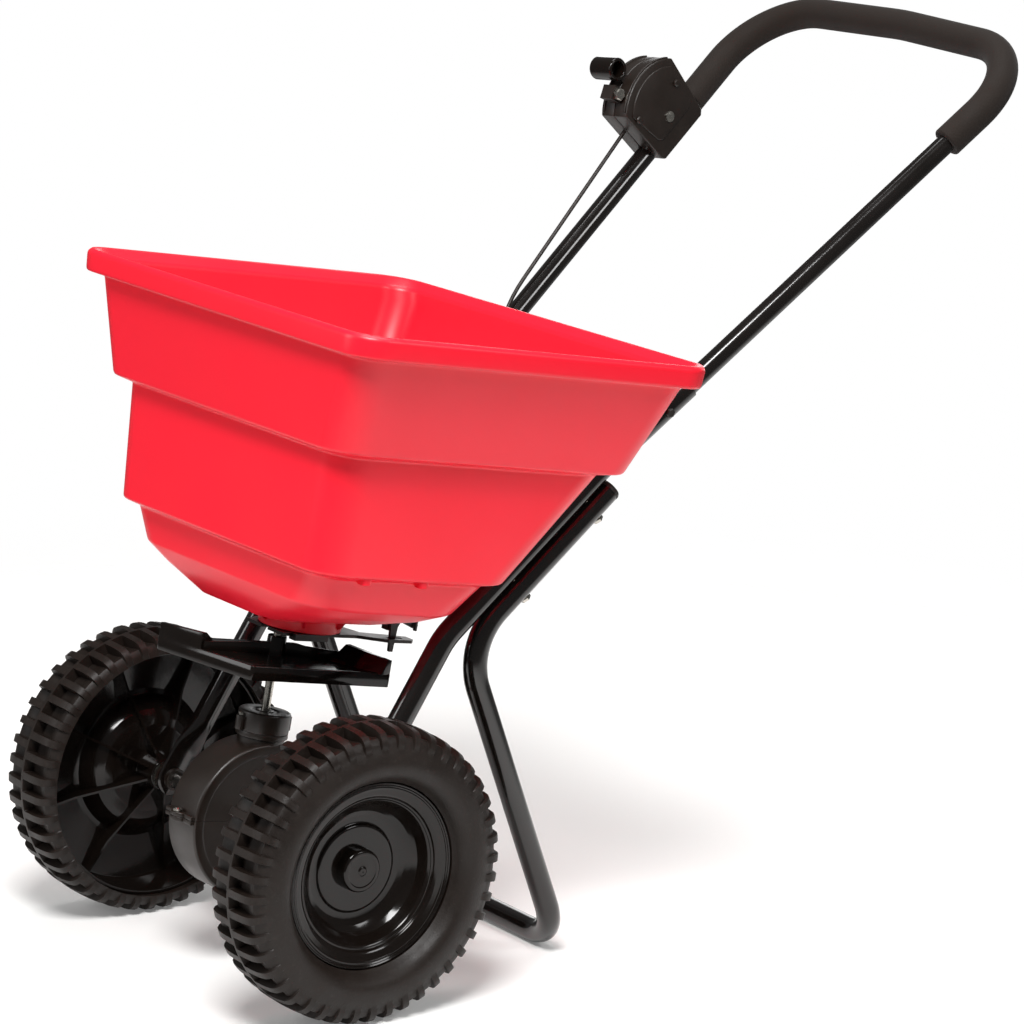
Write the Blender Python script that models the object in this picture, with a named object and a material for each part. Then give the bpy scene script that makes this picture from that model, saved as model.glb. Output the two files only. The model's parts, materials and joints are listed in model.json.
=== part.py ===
"""Walk-behind broadcast spreader for a garden, standing on its two wheels and its rear stand.

Lengths are in metres. +Z is up, the front faces -Y, the handle points to +Y, and X runs
along the axle, +X on the operator's left. The hopper, its shaft and the gearbox share one
axis through the axle that leans back by BODY_LEAN.
"""

import math

import bmesh
import bpy
from mathutils import Matrix, Vector

MM = 0.001
GAP = 0.3 * MM
RUNNING = 0.08 * MM

# Wheels and axle
WHEEL_RADIUS = 135.0 * MM
WHEEL_TRACK = 350.0 * MM
TYRE_HALF_WIDTH = 33.0 * MM
TYRE_BULGE = 6.0 * MM
LUG_COUNT = 44
LUG_DEPTH = 11.0 * MM
LUG_CROWN = 4.0 * MM
RIM_BARREL_RADIUS = 118.0 * MM
RIM_FACE_RADIUS = 84.8 * MM
RIM_BOWL_RADIUS = 67.0 * MM
RIM_DISC_RADIUS = 40.0 * MM
HUB_RADIUS = 17.0 * MM
RIB_COUNT = 8
AXLE_RADIUS = 8.0 * MM

# Body axis and gearbox
BODY_LEAN = math.radians(8.5)
DRUM_RADIUS = 72.0 * MM
DRUM_HALF_WIDTH = 22.0 * MM
CAP_RADIUS = 24.0 * MM
CAP_TOP = 99.0 * MM
SHAFT_RADIUS = 4.0 * MM
CROWN_TEETH = 24
PINION_TEETH = 6
IMPELLER_LEVEL = 138.0 * MM

# Hopper, measured along and across the leaning axis
HOPPER_TOP = 477.0 * MM
HOPPER_HALF_WIDTH = 235.0 * MM
HOPPER_FLARE = 10.0 * MM
HOPPER_FRONT = 129.0 * MM
HOPPER_BACK = 255.0 * MM
HOPPER_WALL = 3.0 * MM
NECK_RADIUS = 38.0 * MM
NECK_CENTRE = 22.0 * MM
NECK_BOTTOM = 178.0 * MM

# Frame, stand and handle
FRAME_HALF_WIDTH = 130.0 * MM
FRAME_RADIUS = 11.1 * MM
HANDLE_RADIUS = 9.5 * MM
FRAME_RISE = math.radians(39.9)
BEND_Y = 116.0 * MM
BEND_Z = 320.0 * MM
FRAME_TOP_Y = 368.0 * MM
HANDLE_SPLAY = 0.155
SPLAY_START_Y = 285.0 * MM
GRIP_Y = 722.0 * MM
GRIP_RADIUS = 14.8 * MM
GRIP_START_Y = 628.0 * MM
STAND_FOOT_Y = 263.0 * MM
STAND_SIDES = 12
STAND_OFFSET = 22.6 * MM
STAND_BOLT_Y = (181.0 * MM, 259.0 * MM)

# Control box, measured along its handle tube
BOX_Y = 583.0 * MM
BOX_RADIUS = 57.0 * MM
BOX_HALF_DEPTH = 18.0 * MM
BOX_SCREWS = ((-33.0 * MM, 46.0 * MM), (27.0 * MM, 40.0 * MM))
LEVER_PIVOT = 20.0 * MM
LEVER_LENGTH = 73.0 * MM
LEVER_REST = math.radians(9.0)
STOP_ANGLE = math.radians(28.0)
ROD_RADIUS = 1.9 * MM

# The axle lies this far in front of the origin, which is under the middle of the whole spreader.
AXLE_FORWARD = (GRIP_Y + GRIP_RADIUS - WHEEL_RADIUS) / 2
AXLE_CENTRE = Vector((0.0, 0.0, WHEEL_RADIUS))
MATERIALS = {}


def clear_scene():
    for obj in list(bpy.data.objects):
        bpy.data.objects.remove(obj)


def material(name, colour, roughness, metallic=0.0):
    """The named material, made once."""
    if name not in MATERIALS:
        made = bpy.data.materials.new(name)
        made.use_nodes = True
        shader = made.node_tree.nodes["Principled BSDF"]
        shader.inputs["Base Color"].default_value = (*colour, 1.0)
        shader.inputs["Roughness"].default_value = roughness
        shader.inputs["Metallic"].default_value = metallic
        MATERIALS[name] = made
    return MATERIALS[name]


def red():
    return material("hopper_red", (0.80, 0.03, 0.04), 0.35)


def gloss():
    return material("moulded_black", (0.012, 0.011, 0.010), 0.22)


def matte():
    return material("housing_black", (0.02, 0.019, 0.018), 0.5)


def painted():
    return material("painted_tube", (0.008, 0.008, 0.008), 0.18)


def rubber():
    return material("tyre_rubber", (0.02, 0.019, 0.018), 0.75)


def foam():
    return material("foam", (0.015, 0.015, 0.015), 0.9)


def zinc():
    return material("zinc", (0.6, 0.6, 0.58), 0.3, 1.0)


def steel():
    return material("steel", (0.35, 0.35, 0.35), 0.35, 1.0)


def empty(name, matrix, parent=None):
    """A frame that other pieces are parented to."""
    made = bpy.data.objects.new(name, None)
    bpy.context.scene.collection.objects.link(made)
    made.parent = parent
    made.matrix_basis = matrix
    return made


def add(name, mesh, finish, parent=None, smooth=True, matrix=None):
    """Adds a mesh as a named object, shaded smooth up to 35 degrees."""
    obj = bpy.data.objects.new(name, mesh)
    bpy.context.scene.collection.objects.link(obj)
    mesh.materials.append(finish)
    if parent is not None:
        obj.parent = parent
    if matrix is not None:
        obj.matrix_basis = matrix
    if smooth:
        mesh.shade_smooth()
        mesh.set_sharp_from_angle(angle=math.radians(35))
    return obj


def mesh_of(points, faces, name="shape"):
    """A mesh from points and faces, with its normals turned outwards."""
    made = bpy.data.meshes.new(name)
    made.from_pydata([tuple(p) for p in points], [], faces)
    work = bmesh.new()
    work.from_mesh(made)
    bmesh.ops.recalc_face_normals(work, faces=work.faces)
    work.to_mesh(made)
    work.free()
    return made


def skin(loops, closed_end=True, ring=False):
    """Faces that join equal loops of points one after another."""
    points = [p for loop in loops for p in loop]
    count = len(loops[0])
    faces = []
    pairs = len(loops) if ring else len(loops) - 1
    for i in range(pairs):
        base = i * count
        other = ((i + 1) % len(loops)) * count
        for j in range(count):
            k = (j + 1) % count
            faces.append((base + j, base + k, other + k, other + j))
    if closed_end and not ring:
        faces.append(tuple(range(count)))
        faces.append(tuple(range((len(loops) - 1) * count, len(loops) * count)))
    return mesh_of(points, faces)


def bore(radius, steps):
    """The corner radius of a many-sided hole whose flats clear a round shaft by RUNNING."""
    return (radius + RUNNING) / math.cos(math.pi / steps)


def turned(profile, steps, axis="X", ring=True):
    """A solid turned about an axis from (radius, along) points. An open profile ends on the axis."""
    loops = []
    for radius, along in profile:
        loop = []
        for j in range(steps):
            angle = 2 * math.pi * j / steps
            a, b = radius * math.cos(angle), radius * math.sin(angle)
            loop.append((along, a, b) if axis == "X" else (a, b, along))
        loops.append(loop)
    return skin(loops, ring=ring)


def block(low, high):
    """A box between two corners."""
    (x0, y0, z0), (x1, y1, z1) = low, high
    loops = [[(x0, y0, z), (x1, y0, z), (x1, y1, z), (x0, y1, z)] for z in (z0, z1)]
    return skin(loops)


def extruded(outline, low, high, axis="X"):
    """A flat outline carried from one level to another along an axis."""
    if axis == "X":
        loops = [[(level, a, b) for a, b in outline] for level in (low, high)]
    else:
        loops = [[(a, b, level) for a, b in outline] for level in (low, high)]
    return skin(loops)


def helper(name, mesh, parent=None, matrix=None):
    """A hidden object for a Boolean."""
    obj = bpy.data.objects.new(name, mesh)
    bpy.context.scene.collection.objects.link(obj)
    if parent is not None:
        obj.parent = parent
    if matrix is not None:
        obj.matrix_basis = matrix
    obj.hide_render = True
    obj.display_type = "WIRE"
    return obj


def boolean(obj, other, operation="DIFFERENCE"):
    change = obj.modifiers.new(operation.lower() + "_" + other.name, "BOOLEAN")
    change.operation = operation
    change.solver = "EXACT"
    change.object = other


def joined(parts):
    """One mesh that holds several separate shells, for a cutter or a Boolean union."""
    work = bmesh.new()
    for part in parts:
        work.from_mesh(part)
    made = bpy.data.meshes.new("joined")
    work.to_mesh(made)
    work.free()
    return made


def rounded_path(corners, radii, step=math.radians(12)):
    """Points along straight runs joined by arcs of the given radii."""
    path = [Vector(corners[0])]
    for i in range(1, len(corners) - 1):
        before, here, after = (Vector(corners[k]) for k in (i - 1, i, i + 1))
        into, out = (here - before).normalized(), (after - here).normalized()
        turn = into.angle(out)
        reach = radii[i - 1] * math.tan(turn / 2)
        start, end = here - into * reach, here + out * reach
        normal = (out - into * into.dot(out)).normalized()
        centre = start + normal * radii[i - 1]
        parts = max(2, math.ceil(turn / step))
        for k in range(parts + 1):
            angle = turn * k / parts
            path.append(centre - normal * radii[i - 1] * math.cos(angle)
                        + into * radii[i - 1] * math.sin(angle))
    path.append(Vector(corners[-1]))
    return path


def tube(path, radius, sides=14, flatten=None, bore=None, turn=0.0):
    """A bar swept along a path. flatten maps a point to (x scale, other scale); bore is
    (radius, number of points) of a blind hole in the far end; turn rolls its flats."""
    loops = []
    side = Vector((1.0, 0.0, 0.0))
    for i, point in enumerate(path):
        before, after = path[max(i - 1, 0)], path[min(i + 1, len(path) - 1)]
        along = (after - before).normalized()
        if i == 0:
            side = Vector((1.0, 0.0, 0.0)) if abs(along.x) < 0.9 else Vector((0.0, 1.0, 0.0))
        side = (side - along * side.dot(along)).normalized()
        other = along.cross(side)
        across, deep = flatten(point) if flatten else (1.0, 1.0)
        loops.append([point + side * (radius * across * math.cos(a)) + other
                      * (radius * deep * math.sin(a))
                      for a in (turn + 2 * math.pi * j / sides for j in range(sides))])
    if bore:
        inner, count = bore
        for i in range(len(path) - 1, len(path) - 1 - count, -1):
            loops.append([path[i] + (p - path[i]) * (inner / radius) for p in loops[i]])
    return skin(loops)


# --------------------------------------------------------------------------- wheels


def tyre_mesh(side):
    """A tread ring with staggered lugs on each side of a centre rib, and one outer sidewall."""
    root = WHEEL_RADIUS - LUG_DEPTH
    inner = RIM_BARREL_RADIUS + GAP
    half = TYRE_HALF_WIDTH
    face = RIM_FACE_RADIUS
    loops = []
    for j in range(LUG_COUNT * 3):
        pitch, third = divmod(j, 3)
        angle = 2 * math.pi * (pitch + third / 3) / LUG_COUNT
        outer = root if third == 2 else WHEEL_RADIUS - LUG_CROWN
        inward = root if third == 1 else WHEEL_RADIUS - LUG_CROWN
        profile = [
            (inner, -half + 3 * MM), (inward - 5 * MM, -half - 1 * MM), (inward, -half + 5 * MM),
            (inward + LUG_CROWN, -2.0 * MM), (outer + LUG_CROWN, 2.0 * MM), (outer, half - 5 * MM),
            (outer - 5 * MM, half + 1 * MM), (root - 16 * MM, half + TYRE_BULGE),
            (face + 0.5 * MM, 24 * MM), (inner, 19 * MM)]
        loops.append([(side * along, radius * math.cos(angle), radius * math.sin(angle))
                      for radius, along in profile])
    return skin(loops, ring=True)


def wheel_mesh(side):
    """The moulded wheel: barrel, face, bowl, disc and hub in one closed section."""
    hole = bore(AXLE_RADIUS, 30)
    profile = [
        (RIM_BARREL_RADIUS, -27), (RIM_BARREL_RADIUS, 18.6), (RIM_FACE_RADIUS, 18.6),
        (RIM_FACE_RADIUS, 22), (RIM_BOWL_RADIUS + 6 * MM, 21.5), (RIM_BOWL_RADIUS + 2 * MM, 17),
        (RIM_BOWL_RADIUS - 2 * MM, 16), (RIM_BOWL_RADIUS - 9 * MM, 5),
        (RIM_DISC_RADIUS + 8 * MM, -2), (RIM_DISC_RADIUS, -5), (HUB_RADIUS, -5),
        (hole, -5), (hole, -34), (HUB_RADIUS - 2 * MM, -34),
        (HUB_RADIUS, -9), (RIM_DISC_RADIUS + 2 * MM, -9), (RIM_DISC_RADIUS + 10 * MM, -6),
        (RIM_BOWL_RADIUS - 6 * MM, 2), (RIM_BOWL_RADIUS + 2 * MM, 13),
        (RIM_BARREL_RADIUS - 4 * MM, 15), (RIM_BARREL_RADIUS - 4 * MM, -27)]
    scaled = [(radius, side * along * MM) for radius, along in profile]
    return turned(scaled, 30)


def rib_mesh(side, angle):
    """One thin rib behind the wheel's face, from the hub to the barrel."""
    outline = [(HUB_RADIUS - 1 * MM, -31), (RIM_DISC_RADIUS, -22), (RIM_BARREL_RADIUS - 3 * MM, -2),
               (RIM_BARREL_RADIUS - 3 * MM, 14), (RIM_BOWL_RADIUS + 6 * MM, 14.5),
               (RIM_BOWL_RADIUS - 7 * MM, 3), (RIM_DISC_RADIUS + 6 * MM, -7), (HUB_RADIUS - 1 * MM, -7)]
    half = 1.4 * MM
    loops = []
    for across in (-half, half):
        loop = []
        for radius, along in outline:
            y = radius * math.cos(angle) - across * math.sin(angle)
            z = radius * math.sin(angle) + across * math.cos(angle)
            loop.append((side * along * MM, y, z))
        loops.append(loop)
    return skin(loops)


def hub_cap_mesh(side):
    profile = [(AXLE_RADIUS + 2 * MM, -4.7), (19.8 * MM, -4.7), (19.8 * MM, 6.8), (18.2 * MM, 8.4),
               (4.2 * MM, 8.4), (3.4 * MM, 9.2), (0.4 * MM, 9.2), (0.4 * MM, 5.2),
               (AXLE_RADIUS + 2 * MM, 5.2)]
    return turned([(r, side * a * MM) for r, a in profile[:-1]] + [(profile[-1][0],
                  side * profile[-1][1] * MM)], 24)


def build_wheels(root):
    axle = empty("axle_line", Matrix.Translation(AXLE_CENTRE), root)
    for name, side in (("left", 1), ("right", -1)):
        spot = Matrix.Translation((side * WHEEL_TRACK / 2, 0, 0))
        add("tyre_" + name, tyre_mesh(side), rubber(), axle, matrix=spot)
        wheel = add("wheel_" + name, wheel_mesh(side), gloss(), axle, matrix=spot)
        for k in range(RIB_COUNT):
            angle = 2 * math.pi * (k + 0.35) / RIB_COUNT
            boolean(wheel, helper(f"rib_{name}_{k}", rib_mesh(side, angle), axle, spot), "UNION")
        add("hub_cap_" + name, hub_cap_mesh(side), gloss(), axle, matrix=spot)
        end = side * (WHEEL_TRACK / 2 - 34 * MM - GAP)
        hole = bore(AXLE_RADIUS, 20)
        washer = turned([(hole, end), (14 * MM, end), (14 * MM, end - side * 2 * MM),
                         (hole, end - side * 2 * MM)], 20)
        add("axle_washer_" + name, washer, zinc(), axle)
        inner = side * (FRAME_HALF_WIDTH - 8 * MM)
        outer = side * (FRAME_HALF_WIDTH + 8 * MM)
        mid = side * (FRAME_HALF_WIDTH + 4.4 * MM)
        bush = turned([(hole, inner), (10.8 * MM, inner), (10.8 * MM, mid), (13.5 * MM, mid),
                       (13.5 * MM, outer), (hole, outer)], 20)
        add("axle_bush_" + name, bush, matte(), axle)
    reach = WHEEL_TRACK / 2 + 3 * MM
    add("axle", turned([(AXLE_RADIUS, -reach), (AXLE_RADIUS, reach)], 32, ring=False), steel(), axle)
    return axle


# --------------------------------------------------------------------------- gearbox


def build_gearbox(body):
    """The split drum with its ears, the pinion cap, the two gears and their screws."""
    wall = 3 * MM
    for upper in (False, True):
        sign = 1 if upper else -1
        name = "gearbox_upper" if upper else "gearbox_lower"
        outside = turned([(DRUM_RADIUS, -DRUM_HALF_WIDTH), (DRUM_RADIUS, DRUM_HALF_WIDTH)],
                         36, ring=False)
        case = add(name, outside, matte(), body)
        ear = block((-9 * MM, -DRUM_RADIUS - 11 * MM, -4 * MM), (9 * MM, DRUM_RADIUS + 11 * MM, 4 * MM))
        boolean(case, helper(name + "_ears", ear, body), "UNION")
        inside = turned([(DRUM_RADIUS - wall, -DRUM_HALF_WIDTH + wall),
                         (DRUM_RADIUS - wall, DRUM_HALF_WIDTH - wall)], 32, ring=False)
        boolean(case, helper(name + "_hollow", inside, body))
        rim = turned([(DRUM_RADIUS - 10 * MM, DRUM_HALF_WIDTH - 1.6 * MM),
                      (DRUM_RADIUS - 10 * MM, DRUM_HALF_WIDTH + 1 * MM)], 32, ring=False)
        boolean(case, helper(name + "_recess_left", rim, body))
        rim = turned([(DRUM_RADIUS - 10 * MM, -DRUM_HALF_WIDTH - 1 * MM),
                      (DRUM_RADIUS - 10 * MM, -DRUM_HALF_WIDTH + 1.6 * MM)], 32, ring=False)
        boolean(case, helper(name + "_recess_right", rim, body))
        drill = turned([(AXLE_RADIUS + 0.4 * MM, -60 * MM), (AXLE_RADIUS + 0.4 * MM, 60 * MM)],
                      32, ring=False)
        boolean(case, helper(name + "_bore", drill, body))
        for end in (-1, 1):
            drill = turned([(2.2 * MM, -9 * MM), (2.2 * MM, 9 * MM)], 16, "Z", ring=False)
            spot = Matrix.Translation((0, end * (DRUM_RADIUS + 5.5 * MM), 0))
            boolean(case, helper(f"{name}_hole_{end + 1}", drill, body, spot))
        if upper:
            boss = turned([(CAP_RADIUS - 2 * MM, DRUM_RADIUS - 9 * MM),
                           (CAP_RADIUS - 2 * MM, DRUM_RADIUS + 3 * MM)], 32, "Z", ring=False)
            boolean(case, helper("pinion_boss", boss, body), "UNION")
            well = turned([(CAP_RADIUS - 8 * MM, DRUM_RADIUS - 16 * MM),
                           (CAP_RADIUS - 8 * MM, DRUM_RADIUS + 9 * MM)], 32, "Z", ring=False)
            boolean(case, helper("pinion_well", well, body))
        away = block((-40 * MM, -90 * MM, min(-sign * 90 * MM, sign * GAP / 2)),
                     (40 * MM, 90 * MM, max(-sign * 90 * MM, sign * GAP / 2)))
        boolean(case, helper(name + "_split", away, body))
    for end, name in ((-1, "front"), (1, "rear")):
        spot = Matrix.Translation((0, end * (DRUM_RADIUS + 5.5 * MM), 0))
        screw = turned([(1.9 * MM, -4.6 * MM), (1.9 * MM, 4.3 * MM), (4.2 * MM, 4.3 * MM),
                        (4.2 * MM, 6.2 * MM), (2.8 * MM, 7.4 * MM)], 16, "Z", ring=False)
        add("gearbox_screw_" + name, screw, zinc(), body, matrix=spot)
    base = DRUM_RADIUS + 3 * MM + GAP
    mid = CAP_TOP - 19 * MM
    lower = turned([(SHAFT_RADIUS + RUNNING + 6 * MM, base), (CAP_RADIUS, base), (CAP_RADIUS, mid),
                    (SHAFT_RADIUS + RUNNING + 6 * MM, mid)], 28, "Z")
    ring = add("pinion_housing", lower, matte(), body)
    hole = bore(SHAFT_RADIUS, 28)
    upper = turned([(hole, mid + GAP), (CAP_RADIUS, mid + GAP), (CAP_RADIUS, CAP_TOP - 2 * MM),
                    (CAP_RADIUS - 2 * MM, CAP_TOP), (hole, CAP_TOP)], 28, "Z")
    cover = add("pinion_cap", upper, matte(), body)
    for end, name in ((-1, "front"), (1, "rear")):
        spot = Matrix.Translation((0, end * (CAP_RADIUS + 0.7 * MM), 0))
        ear = turned([(4.9 * MM, mid + 1 * MM), (4.9 * MM, CAP_TOP - 3.5 * MM)], 18, "Z", ring=False)
        boolean(cover, helper("cap_ear_" + name, ear, body, spot), "UNION")
        hole = turned([(1.7 * MM, mid - 2 * MM), (1.7 * MM, CAP_TOP + 2 * MM)], 16, "Z", ring=False)
        boolean(cover, helper("cap_hole_" + name, hole, body, spot))
        seat = turned([(5.3 * MM, CAP_TOP - 5 * MM), (5.3 * MM, CAP_TOP + 3 * MM)], 22, "Z", ring=False)
        boolean(cover, helper("cap_seat_" + name, seat, body, spot))
        screw = turned([(1.4 * MM, mid + 1 * MM), (1.4 * MM, CAP_TOP - 5 * MM + GAP),
                        (3.4 * MM, CAP_TOP - 5 * MM + GAP), (3.4 * MM, CAP_TOP - 2.6 * MM)],
                       16, "Z", ring=False)
        add("cap_screw_" + name, screw, zinc(), body, matrix=spot)


def gear_loops(teeth, root, tip, low, high, phase, hole):
    """A spur gear about Z with a round bore, as two flat outlines."""
    loops = []
    for level in (low, high):
        outline = []
        for j in range(teeth * 4):
            tooth, quarter = divmod(j, 4)
            turn = tooth + (-0.25, -0.14, 0.14, 0.25)[quarter] + phase
            radius = (root, tip, tip, root)[quarter]
            angle = 2 * math.pi * turn / teeth
            outline.append((radius * math.cos(angle), radius * math.sin(angle), level))
        loops.append(outline)
    inner = []
    for level in (high, low):
        inner.append([(hole * p[0] / math.hypot(p[0], p[1]), hole * p[1] / math.hypot(p[0], p[1]), level)
                      for p in loops[0]])
    return skin([loops[0], loops[1], inner[0], inner[1]], ring=True)


def build_gears(body, axle):
    """A crown gear on the axle and the pinion at the foot of the shaft."""
    face_x = 9.0 * MM
    rise = 4.0 * MM
    disc = turned([(AXLE_RADIUS + GAP, face_x + rise), (51 * MM, face_x + rise), (51 * MM, face_x + rise + 4 * MM),
                   (16 * MM, face_x + rise + 4 * MM), (16 * MM, face_x + rise + 5 * MM),
                   (AXLE_RADIUS + GAP, face_x + rise + 5 * MM)], 40)
    crown = add("crown_gear", disc, matte(), axle)
    teeth = []
    for k in range(CROWN_TEETH):
        angle = 2 * math.pi * (k + 0.5) / CROWN_TEETH + math.pi / 2 - BODY_LEAN
        loops = []
        for radius in (37.5 * MM, 50.5 * MM):
            pitch = 2 * math.pi * radius / CROWN_TEETH
            loop = []
            for across, x in ((-0.30, face_x + rise + 1 * MM), (0.30, face_x + rise + 1 * MM),
                              (0.13, face_x), (-0.13, face_x)):
                y = radius * math.cos(angle) - across * pitch * math.sin(angle)
                z = radius * math.sin(angle) + across * pitch * math.cos(angle)
                loop.append((x, y, z))
            loops.append(loop)
        teeth.append(skin(loops))
    boolean(crown, helper("crown_teeth", joined(teeth), axle), "UNION")
    mesh = gear_loops(PINION_TEETH, 7.4 * MM, 12.4 * MM, 38.5 * MM, 47.5 * MM, 0.0, SHAFT_RADIUS + GAP)
    add("pinion_gear", mesh, matte(), body)


# --------------------------------------------------------------------------- impeller


def build_impeller(body):
    """The shaft, the two-winged impeller and the cross pins."""
    level = IMPELLER_LEVEL
    corner = [(65 * MM, 85 * MM), (-52 * MM, 58 * MM), (-65 * MM, -85 * MM), (52 * MM, -58 * MM)]
    base = level + 9 * MM

    def inset(distance):
        shifted = []
        count = len(corner)
        for i in range(count):
            a, b, c = (Vector(corner[k % count]) for k in (i - 1, i, i + 1))
            n1 = Vector((-(b - a).y, (b - a).x)).normalized()
            n2 = Vector((-(c - b).y, (c - b).x)).normalized()
            middle = (n1 + n2).normalized()
            shifted.append(b + middle * (distance / max(middle.dot(n1), 0.2)))
        return shifted

    def ring(points, height):
        return [(p[0], p[1], height) for p in points]

    outer, inner = inset(0), inset(2.6 * MM)
    plate = skin([ring(inner, level), ring(outer, level), ring(outer, base + 3 * MM),
                  ring(inner, base + 3 * MM), ring(inner, base + 2.6 * MM)][:3]
                 + [ring(inset(1 * MM), base + 4 * MM)], closed_end=True)
    blade = add("impeller", plate, gloss(), body)
    hollow = skin([ring(inset(2.6 * MM), level - 1 * MM), ring(inset(2.6 * MM), base + 1 * MM)])
    boolean(blade, helper("impeller_hollow", hollow, body))
    hub = turned([(10 * MM, level - 2 * MM), (8.5 * MM, level + 31 * MM)], 24, "Z", ring=False)
    boolean(blade, helper("impeller_hub", hub, body), "UNION")
    for k, sign in enumerate((1, -1)):
        tip = Vector(corner[0]) * sign
        side = Vector(corner[1]) * sign
        along = (side - tip).normalized()
        deep = Vector((-along.y, along.x))
        start, end = tip + deep * 0.2 * MM, tip + along * 55 * MM + deep * 0.2 * MM
        thick = deep * 3 * MM
        low, high = base + 1 * MM, base + 15.5 * MM
        fin = skin([[(*start, low), (*end, low), (*(end + thick * 2.2), low), (*(start + thick * 2.2), low)],
                    [(*start, high - 1.5 * MM), (*end, high), (*(end + thick), high),
                     (*(start + thick), high - 1.5 * MM)]])
        boolean(blade, helper(f"impeller_fin_{k}", fin, body), "UNION")
        root = Vector((0.0, 0.0)) + along * 8 * MM - deep * 0
        bend = (end + thick * 1.1) * 0.55 + root * 0.45 + deep * 9 * MM
        line = [root, root * 0.5 + bend * 0.5 + deep * 3 * MM, bend,
                bend * 0.5 + (end + thick) * 0.5 + deep * 2 * MM, end + thick * 1.2]
        bottom, top = [], []
        for i, point in enumerate(line):
            ahead = line[min(i + 1, 4)] - line[max(i - 1, 0)]
            across = Vector((-ahead.y, ahead.x)).normalized() * 1.3 * MM
            bottom.append((point + across, point - across))
            top.append(base + (12 - 1.2 * i) * MM)
        outline_low = [(*a, base + 2 * MM) for a, _ in bottom] + [(*b, base + 2 * MM) for _, b in bottom[::-1]]
        outline_top = ([(*a, h) for (a, _), h in zip(bottom, top)]
                       + [(*b, h) for (_, b), h in zip(bottom[::-1], top[::-1])])
        boolean(blade, helper(f"impeller_vane_{k}", skin([outline_low, outline_top]), body), "UNION")
    drill = turned([(SHAFT_RADIUS + GAP, level - 9 * MM), (SHAFT_RADIUS + GAP, level + 50 * MM)],
                  24, "Z", ring=False)
    boolean(blade, helper("impeller_bore", drill, body))
    shaft = turned([(SHAFT_RADIUS, 36 * MM), (SHAFT_RADIUS, 212 * MM)], 24, "Z", ring=False)
    rod = add("impeller_shaft", shaft, zinc(), body)
    for name, height, half in (("agitator_pin", 206 * MM, 24 * MM), ("impeller_pin", level - 7 * MM, 9 * MM)):
        hole = turned([(1.7 * MM, -8 * MM), (1.7 * MM, 8 * MM)], 12, ring=False)
        spot = Matrix.Translation((0, 0, height))
        boolean(rod, helper(name + "_hole", hole, body, spot))
        pin = turned([(1.5 * MM, -half), (1.5 * MM, half)], 12, ring=False)
        add(name, pin, zinc(), body, matrix=spot)


# --------------------------------------------------------------------------- hopper


def rounded_loop(front, back, half_front, half_back, radius, height, per_corner=6):
    """A rounded four-sided loop; the sides spread towards the back."""
    corners = [(half_back, back), (-half_back, back), (-half_front, -front), (half_front, -front)]
    loop = []
    for i in range(4):
        a, b, c = (Vector(corners[k % 4]) for k in (i - 1, i, i + 1))
        into, out = (b - a).normalized(), (c - b).normalized()
        turn = into.angle(out)
        reach = radius * math.tan(turn / 2)
        start = b - into * reach
        normal = (out - into * into.dot(out)).normalized()
        centre = start + normal * radius
        for k in range(per_corner + 1):
            angle = turn * k / per_corner
            p = centre - normal * radius * math.cos(angle) + into * radius * math.sin(angle)
            loop.append((p.x, p.y, height))
    return loop


def round_loop(radius, height, centre=0.0, per_corner=6):
    """A round loop whose points match those of a rounded_loop."""
    loop = []
    for i in range(4):
        for k in range(per_corner + 1):
            angle = math.pi / 2 * (i + (k + 0.25) / (per_corner + 0.5))
            loop.append((radius * math.cos(angle), centre + radius * math.sin(angle), height))
    return loop


def hopper_sections():
    """(level, front, back, front half width, back half width, corner radius), bottom to top."""
    top = HOPPER_TOP / MM
    front, back = HOPPER_FRONT / MM, HOPPER_BACK / MM
    half, flare = HOPPER_HALF_WIDTH / MM, HOPPER_FLARE / MM
    return [
        (top - 281, front - 71, back - 181, half - 168, half - 168 + flare * 0.3, 30),
        (top - 264, front - 62, back - 172, half - 106, half - 106 + flare * 0.4, 46),
        (top - 252, front - 56, back - 163, half - 79, half - 79 + flare * 0.5, 48),
        (top - 222, front - 52, back - 147, half - 74, half - 74 + flare * 0.6, 32),
        (top - 218, front - 40, back - 135, half - 62, half - 62 + flare * 0.7, 34),
        (top - 112, front - 35, back - 55, half - 55, half - 55 + flare * 0.8, 34),
        (top - 108, front - 23, back - 40, half - 41, half - 41 + flare, 32),
        (top - 22, front - 12, back - 10, half - 19, half - 19 + flare, 30),
        (top - 20, front - 1, back - 1, half - 1, half - 1 + flare, 34),
        (top - 3, front, back, half, half + flare, 34),
        (top, front - 3, back - 3, half - 3, half - 3 + flare, 32),
    ]


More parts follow.
